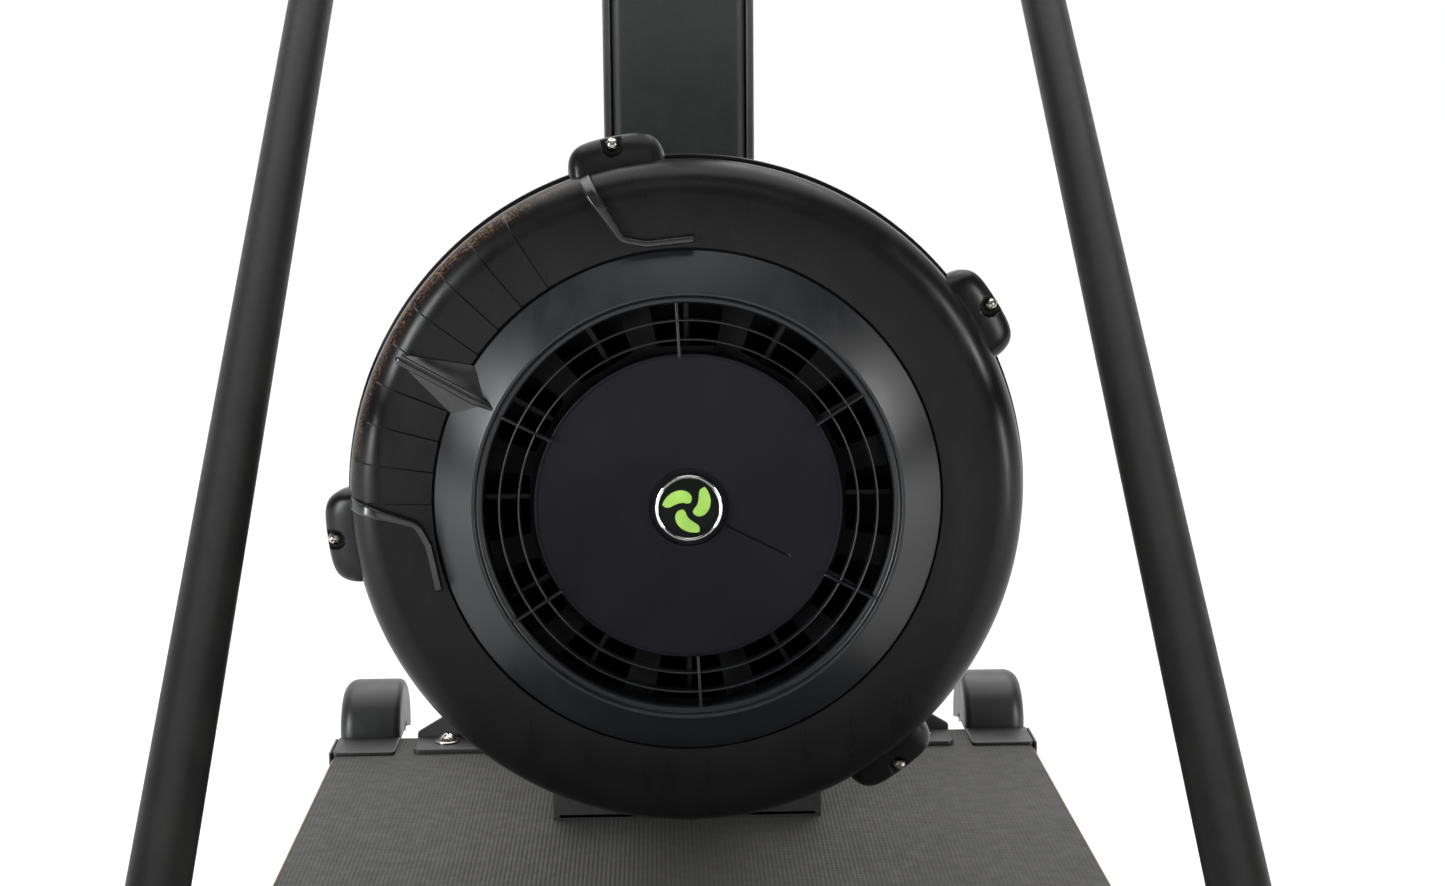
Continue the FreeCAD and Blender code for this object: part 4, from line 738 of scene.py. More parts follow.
@dataclass
class FrontCover:
    """Front half of the flywheel housing, with lugs, stop ribs and the fan of position steps."""

    radius: float = 216.0
    wall: float = 3.0
    face: float = 25.0
    rim: float = 22.0
    low: float = -4.95
    opening: float = 161.5
    first_step: float = 115.0
    step: float = 7.18
    steps: int = 10
    step_depth: float = 1.1
    riser: float = 0.22
    stop_centre: float = 143.5
    lug_angles: tuple[float, ...] = (101.4, 32.0, -53.0, 186.3)
    lug_half: float = 31.0
    lug_out: float = 18.4
    lug_front: float = 5.2
    lug_floor: float = -2.0
    lug_root: float = 213.5
    lug_bulge: float = 2.2
    lug_start: float = 207.0
    pocket: float = 6.4
    seam: float = -5.0
    screw_place: float = 229.0
    screw: tuple[float, float] = (4.4, 3.2)
    rib_route: tuple[tuple[float, float], ...] = ((215.2, 36.4), (203, 37.0), (171.6, 40.3), (166.2, 45.0),
                                                  (167.6, 55.4))
    rib_bends: tuple[float, ...] = (1, 30, 8, 9, 1)
    rib_high: float = 5.4
    rib_sunk: float = 4.0

    def profile(self) -> Array:
        """Returns the section: the flat face, the large rounding, the skirt and the inner side."""
        r, w, f = self.radius, self.wall, self.face
        return closed_profile([(self.opening, f - w), (self.opening, f), (r, f), (r, 3), (r - 0.9, 1.6),
                               (r - 0.9, self.low), (r - w, self.low), (r - w, f - w)],
                              [0.4, 0.8, self.rim, 0.6, 0.6, 0.5, 0.3, self.rim - w], 10)

    def relief(self, angle: Array, radius: Array) -> Array:
        """Depth of the position steps: each panel sinks towards its end, and a riser follows."""
        place = (angle - self.first_step) / self.step
        part = place - np.floor(place)
        inside = (place >= 0) & (place <= self.steps - 1) & (radius > self.opening - 0.2)
        fade = 1 - smoothstep(radius, 210.5, 215.3)
        return np.where(inside, -self.step_depth * part * fade, 0.0)

    def wear(self, angle: Array, radius: Array, height: Array) -> Array:
        """Rubbed rim at the upper left, where the machine is leant and wheeled."""
        side = smoothstep(angle, 104, 126) * (1 - smoothstep(angle, 160, 180))
        return side * smoothstep(radius, 208.5, 213.5) * (height > -1)

    def surface_height(self, radius: Array) -> Array:
        """Height of the front surface at a radius: flat, then a quarter circle down the rim."""
        start = self.radius - self.rim
        drop = np.clip(radius - start, 0, self.rim - 0.5)
        return self.face - self.rim + np.sqrt(self.rim ** 2 - drop ** 2)

    def add_rib(self, skin: Skin, side: int) -> None:
        """Adds a stop rib, a rounded bar that follows the surface.

        A point is the route point + a * width across it, lifted by b * height over the surface, where
        (a, b) runs round the section; the bar widens outwards and thins at the rim and at its end.

        Args:
            skin: The skin that takes it.
            side: -1 or 1, which side of the middle.
        """
        far, turn = np.array(self.rib_route).T
        plan = polar(far, np.radians(self.stop_centre + side * turn))
        line = rounded(plan, self.rib_bends, 10, closed=False)
        far = np.concatenate([[0], np.cumsum(np.linalg.norm(np.diff(line, axis=0), axis=1))])
        even = np.linspace(0, far[-1], 120)
        line = np.stack([np.interp(even, far, line[:, k]) for k in (0, 1)], -1)
        radius = np.linalg.norm(line, axis=1)
        base = self.surface_height(radius)
        ahead = np.gradient(line, axis=0)
        ahead /= np.linalg.norm(ahead, axis=1, keepdims=True)
        across = np.stack([-ahead[:, 1], ahead[:, 0]], -1)
        section = closed_profile([(-1.3, -0.6), (1.3, -0.6), (0.92, 1), (-0.92, 1)],
                                 [0.05, 0.05, 0.42, 0.42], 8)
        a, b = section[None, :, :1], section[None, :, 1]
        wide = 2.15 + 1.5 * smoothstep(radius, 172, 208)
        tall = self.rib_high * (1 - 0.62 * smoothstep(radius, 203, 216))
        tall *= 0.3 + 0.7 * smoothstep(far[-1] - even, -0.5, 1.6)
        flat = line[:, None] + wide[:, None, None] * a * across[:, None]
        lift = base[:, None] + b * np.where(b > 0, tall[:, None], self.rib_sunk)
        points = HUB.world(np.concatenate([flat, lift[..., None]], -1))
        skin.grid(points).ends(points)

    def add_lug(self, skin: Skin, angle: float) -> None:
        """Adds a screw lug: a smooth bump whose pocket for the screw is open outwards.

        Across the lug the outer edge is root + lug_curve(u) + bulge * (1 - (u / half)^2). The height over
        the seam at a share t of the way out is (front * (1 - t^3.2)^(1/2) + 5 * (1 - t)) times
        (1 - |u / half|^9)^(1/2), and inside the pocket it is no more than its floor.

        Args:
            skin: The skin that takes it.
            angle: Its place round the rim.
        """
        half, pocket = self.lug_half, self.pocket
        fine = np.array([-0.5, -0.2, 0.0, 0.2, 0.5])
        u = np.unique(np.concatenate([half * np.sin(np.linspace(-1, 1, 91) * np.pi / 2), fine - pocket,
                                      fine + pocket, np.linspace(-pocket, pocket, 27)]))
        share = np.abs(u / half)
        edge = self.lug_root + lug_curve(u, half, self.lug_out) + self.lug_bulge * (1 - share ** 2)
        t = np.sin(np.linspace(0, 1, 60) * np.pi / 2)[None, :]
        r = self.lug_start + t * (edge[:, None] - self.lug_start)
        across = np.broadcast_to(u[:, None], r.shape)
        rise = (self.lug_front - self.seam) * np.sqrt(1 - t ** 3.2) + 5.0 * (1 - t)
        top = self.seam + rise * np.sqrt(1 - share[:, None] ** 9)
        centre = self.screw_place - 1.0
        reach = np.where(r > centre, np.abs(across), np.hypot(across, r - centre))
        inside = 1 - smoothstep(reach, pocket - 0.25, pocket + 0.3)
        sunk = top * (1 - inside) + np.minimum(top, self.lug_floor) * inside
        back = np.full_like(r, self.seam - 0.3)
        skin.cushion(HUB.spun(angle - 90), np.stack([across, r, sunk], -1), np.stack([across, r, back], -1))

    def build(self) -> None:
        """Builds the cover and its screws."""
        even = np.linspace(0, 360, 289)
        edges = self.first_step + self.step * np.arange(self.steps)
        angles = np.unique(np.concatenate([even, edges - self.riser, edges + 0.001]))
        skin = Skin().lathe(HUB, self.profile(), angles, self.relief, self.wear)
        for angle in self.lug_angles:
            self.add_lug(skin, angle)
        skin.piece("front_cover_shell", SHELL, "frame", "shell_plastic", "front_cover", crease=40)
        ribs = Skin()
        for side in (-1, 1):
            self.add_rib(ribs, side)
        # The ribs take the lighter satin, a painted highlight.
        ribs.piece("stop_ribs", SATIN_PAINTED_HIGHLIGHT, "frame", "shell_plastic", crease=40)
        screws = Skin()
        for k, angle in enumerate(self.lug_angles):
            place = HUB.spun(angle - 90).at(0, self.screw_place, self.lug_floor)
            pan_screw(screws, place, *self.screw, 25 + 31 * k)
        screws.piece("cover_screw_heads", SCREW, "frame", "bolt_steel", "cover_screws", crease=30)


@dataclass
class RearHousing:
    """Rear half of the housing: a rolled lip, a tapering drum wall and a slotted back."""

    radius: float = 218.5
    drum: float = 206.0
    depth: float = 83.0
    wall: float = 3.0
    lip_front: float = -6.55
    slots: int = 18
    slot_inner: float = 92.0
    slot_outer: float = 172.0
    bar_share: float = 0.46
    hole: float = 25.0
    lug_half: float = 30.5
    lug_out: float = 18.0
    lug_back: float = -16.0
    lug_front: float = -5.85

    def build(self) -> None:
        """Builds the drum with its lugs, and the slotted back as a ring of bars."""
        r, d, w, lip = self.radius, self.depth, self.wall, self.lip_front
        wall = closed_profile([(r - w, lip), (r, lip), (r, lip - 8), (r - 4, lip - 11), (self.drum, -d),
                               (self.slot_outer + 6, -d), (self.slot_outer + 6, w - d),
                               (self.drum - w, w - d), (r - 4 - w, lip - 11)],
                              [0.5, 1.2, 1.5, 2, 16, 0.5, 0.5, 13, 1], 6)
        skin = Skin().lathe(HUB, wall, np.linspace(0, 360, 193))
        centre = closed_profile([(self.hole, -d), (self.slot_inner, -d), (self.slot_inner, w - d),
                                 (self.hole, w - d)], 0.6, 3)
        skin.lathe(HUB, centre)
        half = math.radians(180 / self.slots) * self.bar_share
        near, far = self.slot_inner - 2, self.slot_outer + 8
        bar = rounded([(near, -near * half), (far, -far * half), (far, far * half), (near, near * half)],
                      3, 4)
        for k in range(self.slots):
            skin.slab(HUB.spun(90 + (k + 0.5) * 360 / self.slots), bar, 0.15 - d, w - d - 0.15, 0.8, 2)
        side = self.lug_half
        u = side * np.sin(np.linspace(-1, 1, 61) * np.pi / 2)
        edge = FrontCover.lug_root + lug_curve(u, side, self.lug_out)
        lug = np.concatenate([[[side, self.drum], [-side, self.drum]], np.stack([u, edge], -1)])[::-1]
        for angle in FrontCover.lug_angles:
            skin.slab(HUB.spun(angle - 90), lug, self.lug_back, self.lug_front, 0.4, 3, 1.5)
        skin.piece("rear_housing_shell", SHELL, "frame", "shell_plastic", "rear_housing", crease=35)


@dataclass
class Damper:
    """Turning damper ring: cone, rounded lip, grille, spokes, centre disc and lever."""

    outer: float = 160.3
    edge: float = 25.5
    low: float = 22.5
    lip: float = 133.0
    crest: float = 43.2
    disc: float = 97.0
    disc_front: float = 36.0
    rings: tuple[float, ...] = (118.4, 106.4)
    ring_thick: float = 1.15
    grille_front: float = 43.0
    grille_deep: float = 8.0
    ring_drop: float = 1.2
    spoke_start: float = 32.9
    spokes: int = 6
    lever_angle: float = 152.0
    lever_tip: float = 203.5
    lever_start: float = 135.0
    lever_half_angle: float = 6.0
    lever_bar: float = 3.3
    groove_angle: float = -27.0
    groove_deep: float = 1.6
    well: float = 25.0
    badge: float = 21.2
    badge_high: float = 39.9
    badge_crown: float = 1.1

    def build(self) -> None:
        """Builds the ring, the disc and the badge."""
        self.build_cone()
        self.build_disc()
        self.build_badge()

    def build_cone(self) -> None:
        """Builds the cone with its lip, the grille, the spokes and the lever."""
        lip, crest = self.lip, self.crest
        section = closed_profile(
            [(self.outer, self.low), (self.outer, self.edge), (lip + 2.6, crest), (lip + 0.9, crest - 0.2),
             (lip - 0.6, crest - 3.2), (lip - 3.3, crest - 3.6), (lip - 4.4, crest - 5.2),
             (lip - 4.8, crest - 20.2), (lip - 3.0, crest - 20.2), (lip - 0.6, crest - 8),
             (lip + 3.4, crest - 4.6), (self.outer - 3.5, self.low)],
            [0.4, 1.0, 0.9, 0.8, 1.6, 0.6, 0.7, 0.4, 0.4, 1, 1.5, 0.5], 8)
        skin = Skin().lathe(HUB, section, np.linspace(0, 360, 241))
        front, back = self.grille_front, self.grille_front - self.grille_deep
        half = self.ring_thick / 2
        for k, radius in enumerate(self.rings):
            sunk = self.ring_drop * k
            ring = closed_profile([(radius - half, back), (radius + half, back),
                                   (radius + half, front - sunk), (radius - half, front - sunk)],
                                  [0.1, 0.1, 0.7, 0.7], 5)
            skin.lathe(HUB, ring, np.linspace(0, 360, 193))
        bar = rectangle(-0.9, 0.9, self.disc - 1.5, lip - 3.4, 0.3, 2)
        for k in range(self.spokes):
            turn = self.spoke_start + k * 360 / self.spokes - 90
            skin.slab(HUB.spun(turn), bar, back + 0.2, front - 0.5, 0.6, 3, 0.1)
        skin.piece("damper_cone", RING, "damper", "damper_plastic", "damper_ring", crease=38)
        lever = Skin()
        self.add_lever(lever)
        # The lever takes the lighter satin, a painted highlight.
        lever.piece("damper_lever", SATIN_PAINTED_HIGHLIGHT, "damper", "damper_plastic", crease=38)

    def add_lever(self, skin: Skin) -> None:
        """Adds the lever: two flat facets from a ridge down to its base, and a round bar on the ridge.

        A point is the base line blended into the ridge line, t from 0 at the base to 1 at the ridge.

        Args:
            skin: The skin that takes it.
        """
        seat = HUB.spun(self.lever_angle - 90)
        inner = np.array([0, self.lever_start, 41.4])
        tip = np.array([0, self.lever_tip, 31.0])
        base, skirt, tip_half, bar_sunk, hollow = self.edge + 0.3, 0.45, 2.2, 1.4, 0.9
        rows = np.linspace(0, 1, 41)
        ridge = inner + rows[:, None] * (tip - inner) - [0, 0, bar_sunk]
        reach = 0.36
        t = np.linspace(0, 1, 15)[None, :, None]
        end = []
        for side in (-1, 1):
            lean = math.radians(self.lever_half_angle * side)
            corner = np.array([-self.outer * math.sin(lean), self.outer * math.cos(lean), base])
            foot = np.array([-tip_half * side, self.lever_tip - 1.0, base])
            first = inner + np.minimum(rows / reach, 1)[:, None] * (corner - inner)
            line = first + np.clip((rows - reach) / (1 - reach), 0, 1)[:, None] * (foot - corner)
            facet = line[:, None] * (1 - t) + ridge[:, None] * t
            facet[..., 2] -= hollow * np.sin(np.pi * t[..., 0]) * np.sin(np.pi * rows)[:, None]
            under = line[:, None] * (1 - t) + (line * [0, 1, 1])[:, None] * t
            under[..., 2] = np.minimum(under[..., 2], base) - skirt
            for face in (facet, under, np.stack([line, under[:, 0]], 1)):
                skin.grid(seat.world(face))
            end.append(np.concatenate([under[-1, ::-1], facet[-1]]))
        skin.flat(seat.world(np.concatenate([end[0], end[1][::-1]])))
        length = np.linspace(0, 1, 49)
        bar = inner + [0, 0.5, 0.1] + length[:, None] * (tip - inner + [0, 0.4, 0.9])
        thick = self.lever_bar * np.sqrt(np.clip(1 - ((length - 0.95) / 0.055).clip(0) ** 2, 0.02, 1))
        thick *= 0.3 + 0.7 * smoothstep(length, -0.03, 0.22)
        skin.sweep(seat.world(bar), circle(1, 28), np.array(seat.right), scale=thick)

    def build_disc(self) -> None:
        """Builds the centre disc with its engraved pointer and the recess of the badge."""
        edge, front, near = self.disc, self.disc_front, self.well
        radii = np.concatenate([np.linspace(25.6, 72, 34), [80, 90, edge - 1.6]])
        rim = rounded([(edge - 1.7, front), (edge - 1.5, front + 0.9), (edge, front + 0.9),
                       (edge, front - 13), (edge - 3, front - 13), (edge - 3, front - 4),
                       (near, front - 4)], [0.1, 0.3, 0.7, 0.4, 0.4, 0.5, 0.1], 5, False)
        top = np.column_stack([radii, np.full(len(radii), front)])
        well = rounded([(POLE, front - 2.4), (near, front - 2.4), (near, front), (near + 1, front)],
                       [0.1, 1.0, 0.5, 0.1], 6, False)
        profile = np.concatenate([well[:-1], top, rim])
        fine = self.groove_angle + np.linspace(-1.7, 1.7, 35)
        angles = np.unique(np.concatenate([np.linspace(-180, 180, 193), fine]))

        def groove(angle: Array, radius: Array) -> Array:
            """How far the narrow slot along one radius sinks, as a negative depth."""
            wide = np.abs(np.radians(angle - self.groove_angle)) * radius
            along = smoothstep(radius, 25.8, 26.2) * (1 - smoothstep(radius, 70, 71.5))
            return -self.groove_deep * along * (1 - smoothstep(wide, 0.62, 0.85))

        skin = Skin().lathe(HUB, profile[::-1], angles, groove)
        collar = closed_profile([(15.1, 23), (20, 23), (20, front - 4), (15.1, front - 4)], 0.4, 2)
        skin.lathe(HUB, collar)
        skin.piece("damper_disc", DISC, "damper", "damper_plastic", crease=30)

    def build_badge(self) -> None:
        """Builds the chrome rim, the dark field and three green vanes of a turning fan."""
        r, high, crown, sunk = self.badge, self.badge_high, self.badge_crown, 34.2
        rim = closed_profile([(r - 2.2, 35), (r, 34), (r, 40.4), (r - 1.1, 41.1), (r - 2.2, 40.2)],
                             [0.1, 0.4, 0.8, 0.9, 0.6], 6)
        Skin().lathe(HUB, rim, np.linspace(0, 360, 129)).piece(
            "badge_ring", CHROME, "damper", "chrome", "badge_rim", crease=50)
        radius = np.linspace(POLE, r - 2.1, 26)
        dome = np.column_stack([radius, high - crown * (radius / r) ** 2])
        dome = np.concatenate([dome, [[r - 2.1, sunk], [POLE, sunk]]])
        Skin().lathe(HUB, dome).piece(
            "badge_field", FIELD, "damper", "badge", "badge_face", crease=50)
        vanes = Skin()
        proud, thick = 0.15, 0.4
        s = np.linspace(0, 1, 30)[:, None]
        middle = 3.2 + 13.6 * s
        half = (0.3 + 0.42 * np.sin(np.pi * s ** 0.75)) * (1 - s ** 7)
        for k in range(3):
            bend = math.radians(95 + 120 * k) + 1.35 * s ** 1.1 + half * np.linspace(-1, 1, 9)
            flat = polar(middle, bend)
            lift = high + proud - crown * ((flat ** 2).sum(-1, keepdims=True) / r ** 2)
            top = np.concatenate([flat, lift], -1)
            vanes.cushion(HUB, top, top - [0, 0, thick])
        vanes.piece("badge_vanes", GREEN, "damper", "badge", crease=40)


# ------------------------------------------------------------------------------------- the stand

@dataclass
class Platform:
    """Plywood board, ribbed mat and rubber feet."""

    half: float = 298.5
    front: float = -635.0
    back: float = 560.0
    low: float = 12.0
    top: float = 30.0
    deck: float = 33.0
    corner: float = 14.0
    mat_inset: float = 2.0
    foot_inset: float = 60.0

    def build(self) -> None:
        """Builds the three layers."""
        board = rectangle(-self.half, self.half, self.front, self.back, self.corner, 8)
        Skin().slab(TOP, board, self.low, self.top, 0.8, 3).piece(
            "board", PLYWOOD, "frame", "plywood", "platform_board")
        m = self.mat_inset
        inner = rectangle(m - self.half, self.half - m, self.front + m, self.back - m, self.corner - m, 8)
        Skin().slab(TOP, inner, self.top, self.deck, 0.9, 3, 0.05).piece(
            "ribbed_mat", MAT, "frame", "mat", "platform_mat")
        feet = Skin()
        cup = np.array([(POLE, 12), (22, 12), (22, 9.5), (20.5, 8.5), (22, 7.5), (21, 2), (19, 0.2),
                        (12, 0), (9, 1.6), (POLE, 1.6)])
        e = self.foot_inset
        across, along = self.half - e, (self.front + e, (self.front + self.back) / 2, self.back - e)
        for side in (-1, 1):
            for y in along:
                feet.lathe(TOP.at(across * side, y, 0), rounded(cup, 1.2, 4, False))
        feet.piece("rubber_feet", RUBBER, "frame", "rubber_feet", "platform_feet")


@dataclass
class Brace:
    """Bent tube hoop with its foot plates, welds, bolts and the clamp behind the column."""

    span: float = 270.0
    tube: float = 16.0
    rise: float = 37.6
    foot_y: float = -429.0
    deck: float = 33.0
    bend: float = 120.0
    length: float = 1262.0
    plate: float = 6.0
    plate_half: float = 31.0
    clamp_front: float = 548.0
    clamp_half: float = 48.0
    clamp_high: float = 31.0
    clamp_gap: float = 1.2
    clamp_wall: float = 8.0
    bolt_x: float = 34.0
    bolt_z: float = 23.0

    def centre(self, x: Array, along: Array) -> Array:
        """Returns points in the hoop's sloping plane, from the distance across and up the slope."""
        lean = math.radians(self.rise)
        return np.stack([x, self.foot_y + along * math.cos(lean), self.deck + along * math.sin(lean)], -1)

    def build(self) -> None:
        """Builds the tube and what holds it."""
        s, b, n = self.span, self.bend, self.length
        start = 4.0
        left = np.stack([np.full(60, -s), np.linspace(start, n - b - 1, 60)], -1)
        corner = polar(b, np.linspace(0, np.pi / 2, 33)) * [-1, 1] + [b - s, n - b]
        bar = np.stack([np.linspace(b - s + 1, s - b - 1, 20), np.full(20, n)], -1)
        path = np.concatenate([left, corner, bar, (corner * [-1, 1])[::-1], (left * [-1, 1])[::-1]])
        line = self.centre(path[:, 0], path[:, 1])
        lean = math.radians(self.rise)
        normal = np.array([0, -math.sin(lean), math.cos(lean)])
        skin = Skin().sweep(line, circle(self.tube, 56), normal)
        for side in (-1, 1):
            self.add_weld(skin, side)
        skin.piece("hoop_tube", TUBE, "frame", "tube_black", "hoop_brace", crease=50)
        plates = Skin()
        for side in (-1, 1):
            x, half = s * side, self.plate_half
            outline = rectangle(x - half, x + half, self.foot_y - 103, self.foot_y + 87, 9, 6)
            plates.slab(TOP, outline, self.deck, self.deck + self.plate, 1.0, 3, 0.1)
        plates.piece("foot_plates", PLATE, "frame", "plate_black", "hoop_foot_plates")
        self.build_clamp()

    def add_weld(self, skin: Skin, side: int) -> None:
        """Adds the weld bead round the foot of a leg.

        The bead runs round the ellipse where the tube meets its plate; its thickness ripples.

        Args:
            skin: The skin that takes it.
            side: -1 or 1.
        """
        turn = np.linspace(0, 2 * np.pi, 181)
        lean = math.radians(self.rise)
        level = self.deck + self.plate
        middle = self.foot_y + self.plate / math.tan(lean)
        ring = np.stack([self.span * side + self.tube * np.cos(turn),
                         middle + self.tube / math.sin(lean) * np.sin(turn), np.full(181, level + 0.6)], -1)
        bead = circle(1, 10)
        size = 2.3 + 0.35 * np.sin(turn * 34)
        skin.sweep(ring, bead, np.array([0, 0, 1.0]), scale=size)

    def build_clamp(self) -> None:
        """Builds the saddle block, cut round the crossbar, and its four bolts."""
        bar = self.centre(np.array([0.0]), np.array([self.length]))[0]
        y, z = float(bar[1]), float(bar[2])
        back, high, hole = y + self.tube + self.clamp_wall, self.clamp_high, self.tube + 0.1
        arc = polar(hole, np.radians(np.linspace(88, -88, 25)))
        block = Skin()
        for sign, far in ((-1, self.clamp_front), (1, back)):
            rim = y + self.clamp_gap * sign
            hollow = arc * [sign, 1] + [y, z]
            loop = np.concatenate([[(rim, hollow[-1, 1]), (rim, z - high), (far, z - high), (far, z + high),
                                    (rim, z + high), (rim, hollow[0, 1])], hollow[1:-1]])
            loop = loop[::-1] if is_clockwise(loop) else loop
            block.slab(SIDE, loop, -self.clamp_half, self.clamp_half, 0.6, 2)
        block.piece("clamp_saddle", PLATE, "frame", "plate_black", "hoop_clamp", crease=30)
        bolts = Skin()
        for side in (-1, 1):
            for level in (-1, 1):
                seat = Seat((self.bolt_x * side, back, z + self.bolt_z * level), (1, 0, 0), (0, 0, -1),
                            (0, 1, 0))
                bolts.lathe(seat, closed_profile([(4, 0), (9.4, 0), (9.4, 1.5), (4, 1.5)], 0.3, 2))
                bolts.slab(seat.at(0, 0, 1.5), circle(7.4, 6), 0, 5.2, 0.7, 2, 0.1)
                bolts.lathe(seat, np.array([(POLE, 8.6), (3.6, 8.6), (4, 8.2), (4, 0.5), (POLE, 0.5)]))
        bolts.piece("clamp_nuts", SCREW, "frame", "bolt_steel", "clamp_bolts", crease=30)


@dataclass
class BoltSet:
    """Round-head bolts with washers that hold the stand's plates to the board."""

    deck: float = 33.0
    washer: float = 10.5
    head: float = 8.0
    head_high: float = 5.0
    brace: tuple[float, float, float] = (270.0, -437.0, 79.0)
    gusset: tuple[float, float] = (203.0, 534.0)
    shoe_x: float = 79.5
    shoe_y: tuple[float, float] = (373.0, 508.0)

    def places(self) -> list[tuple[float, float, float]]:
        """Returns the centre and level of each bolt."""
        x, y, step = self.brace
        brace, gusset, shoe = self.deck + 6, self.deck + 4, self.deck + 5
        return [place for side in (-1, 1) for place in
                [(x * side, y - step, brace), (x * side, y + step, brace),
                 (self.gusset[0] * side, self.gusset[1], gusset),
                 *((self.shoe_x * side, y, shoe) for y in self.shoe_y)]]

    def build(self) -> None:
        """Builds all bolts as one piece."""
        skin = Skin()
        for k, (x, y, level) in enumerate(self.places()):
            seat = TOP.at(x, y, level)
            ring = closed_profile([(4, 0), (self.washer, 0), (self.washer, 1.8), (4, 1.8)],
                                  [0.1, 0.3, 0.7, 0.3], 4)
            skin.lathe(seat, ring, np.linspace(0, 360, 65))
            pan_screw(skin, seat.at(0, 0, 1.8), self.head, self.head_high, 17 + 23 * k)
        skin.piece("board_bolts", SCREW, "frame", "bolt_steel", "stand_bolts", crease=30)


@dataclass
class Steelwork:
    """Rear gusset and the shoe under the column."""

    deck: float = 33.0
    back: float = 548.0
    gusset_half: float = 230.0
    column_half: float = 57.5
    shoe_half: float = 103.5
    shoe_front: float = 343.0
    shoe_high: float = 60.0
    wall: float = 5.0

    def build(self) -> None:
        """Builds both plates."""
        d, g, c = self.deck, self.gusset_half, self.column_half
        plate = rounded([(-g, d), (g, d), (g, d + 8), (c, d + 112), (c - 6, d + 210), (6 - c, d + 210),
                         (-c, d + 112), (-g, d + 8)], [1, 1, 3, 10, 8, 8, 10, 3], 6)
        gusset = Skin().slab(FRONT, plate, -self.back - 4, -self.back, 0.8, 3)
        for side in (-1, 1):
            inner, outer = 107.5 * side, g * side
            flange = rectangle(min(inner, outer), max(inner, outer), self.back - 36, self.back - 0.2,
                               [6, 6, 0.3, 0.3], 5)
            gusset.slab(TOP, flange, d, d + 4, 0.8, 3, 0.1)
        gusset.piece("gusset_plate", PLATE, "frame", "plate_black", "rear_gusset")
        s, f, w, top = self.shoe_half, self.shoe_front, self.wall, d + self.shoe_high
        shoe = Skin().slab(TOP, rectangle(-s, s, f, self.back, [5, 5, 1, 1]), d, d + w, 0.7, 3, 0.1)
        wall = rectangle(-s, s, d + 1, top, [1, 1, 10, 10], 6)
        shoe.slab(FRONT, wall, -f - w, -f, 1.2, 4, 0.5)
        side_wall = rounded([(f + w, d + 1), (self.back, d + 1), (self.back, top), (f + w, top)],
                            [0.5, 1, 8, 0.5], 5)
        for low, high in ((-s, w - s), (s - w, s)):
            shoe.slab(SIDE, side_wall, low, high, 0.8, 3)
        shoe.piece("column_shoe_tray", PLATE, "frame", "plate_black", "column_shoe")


@dataclass
class Caster:
    """A corner wheel under its moulded fender."""

    side: int
    width: float = 53.0
    edge: float = 298.5
    wheel_y: float = 593.0
    level: float = 33.0
    hood: float = 42.0
    wall: float = 3.0
    wheel: float = 28.0
    wheel_wide: float = 30.0
    flange_front: float = 510.0
    lip: float = 2.5
    first_angle: float = -16.0
    last_angle: float = 180.0
    spokes: int = 6

    def build(self) -> None:
        """Builds the fender and the wheel."""
        s, name = self.side, side_name(self.side)
        inner = self.edge - self.width
        axis = Seat((0, self.wheel_y, self.level), (0, 1, 0), (0, 0, 1), (1, 0, 0))
        skin = Skin()
        shell, hollow = (rounded([(POLE, inner + w), (self.hood - w, inner + w),
                                  (self.hood - w, self.edge - w), (POLE, self.edge - w)],
                                 [0.1, near, far, 0.1], 10, False)
                         for w, near, far in ((0.0, 6, 13), (self.wall, 3, 10)))
        loop = np.concatenate([shell, hollow[::-1], shell[:1]]) * [1, s]
        ends = (self.first_angle, self.last_angle)
        skin.lathe(axis, loop, np.linspace(*ends, 73))
        for angle in ends:
            turn = math.radians(angle)
            cap = np.column_stack([polar(loop[:-1, 0], turn), loop[:-1, 1]])
            skin.flat(axis.world(cap))
        low, high = sorted((inner * s, self.edge * s))
        flange = rectangle(low, high, self.flange_front, self.flange_front + 42.5, [4, 4, 0.5, 0.5], 5)
        skin.slab(TOP, flange, self.level, self.level + self.wall, 1.3, 4, 0.1)
        lip_low, lip_high = sorted((self.edge * s, (self.edge + self.lip) * s))
        lip = rectangle(self.flange_front, self.flange_front + 40, self.level - 14, self.level + self.wall,
                        [3, 1, 1, 2], 5)
        skin.slab(SIDE, lip, lip_low, lip_high, 0.9, 3)
        skin.piece(f"fender_{name}", FENDER, "frame", "caster_plastic", f"caster_bracket_{name}",
                   crease=38)
        middle = s * (self.edge + inner) / 2 - self.wheel_wide / 2
        seat = axis.at(0, 0, middle)
        w = self.wheel_wide
        tyre = closed_profile([(21, 2.5), (26, 0.6), (self.wheel, 5), (self.wheel, w - 5), (26, w - 0.6),
                               (21, w - 2.5)], [1, 2, 4, 4, 2, 1], 6)
        wheel = Skin().lathe(seat, tyre)
        hub = closed_profile([(4.05, 1), (9, 1), (9, 7), (21.2, 7), (21.2, 3), (22.4, 3), (22.4, w - 3),
                              (21.2, w - 3), (21.2, w - 7), (9, w - 7), (9, w - 1), (4.05, w - 1)], 0.5, 3)
        wheel.lathe(seat, hub)
        rib = rectangle(-1.1, 1.1, 8.6, 21.4, 0.3, 2)
        for k in range(self.spokes):
            wheel.slab(seat.spun(360 / self.spokes * k), rib, 4.2, w - 4.2, 0.5, 2)
        wheel.piece(f"wheel_{name}", RUBBER, f"caster_{name}", "tyre", f"caster_wheel_{name}")


# ------------------------------------------------------------------------------ column and head

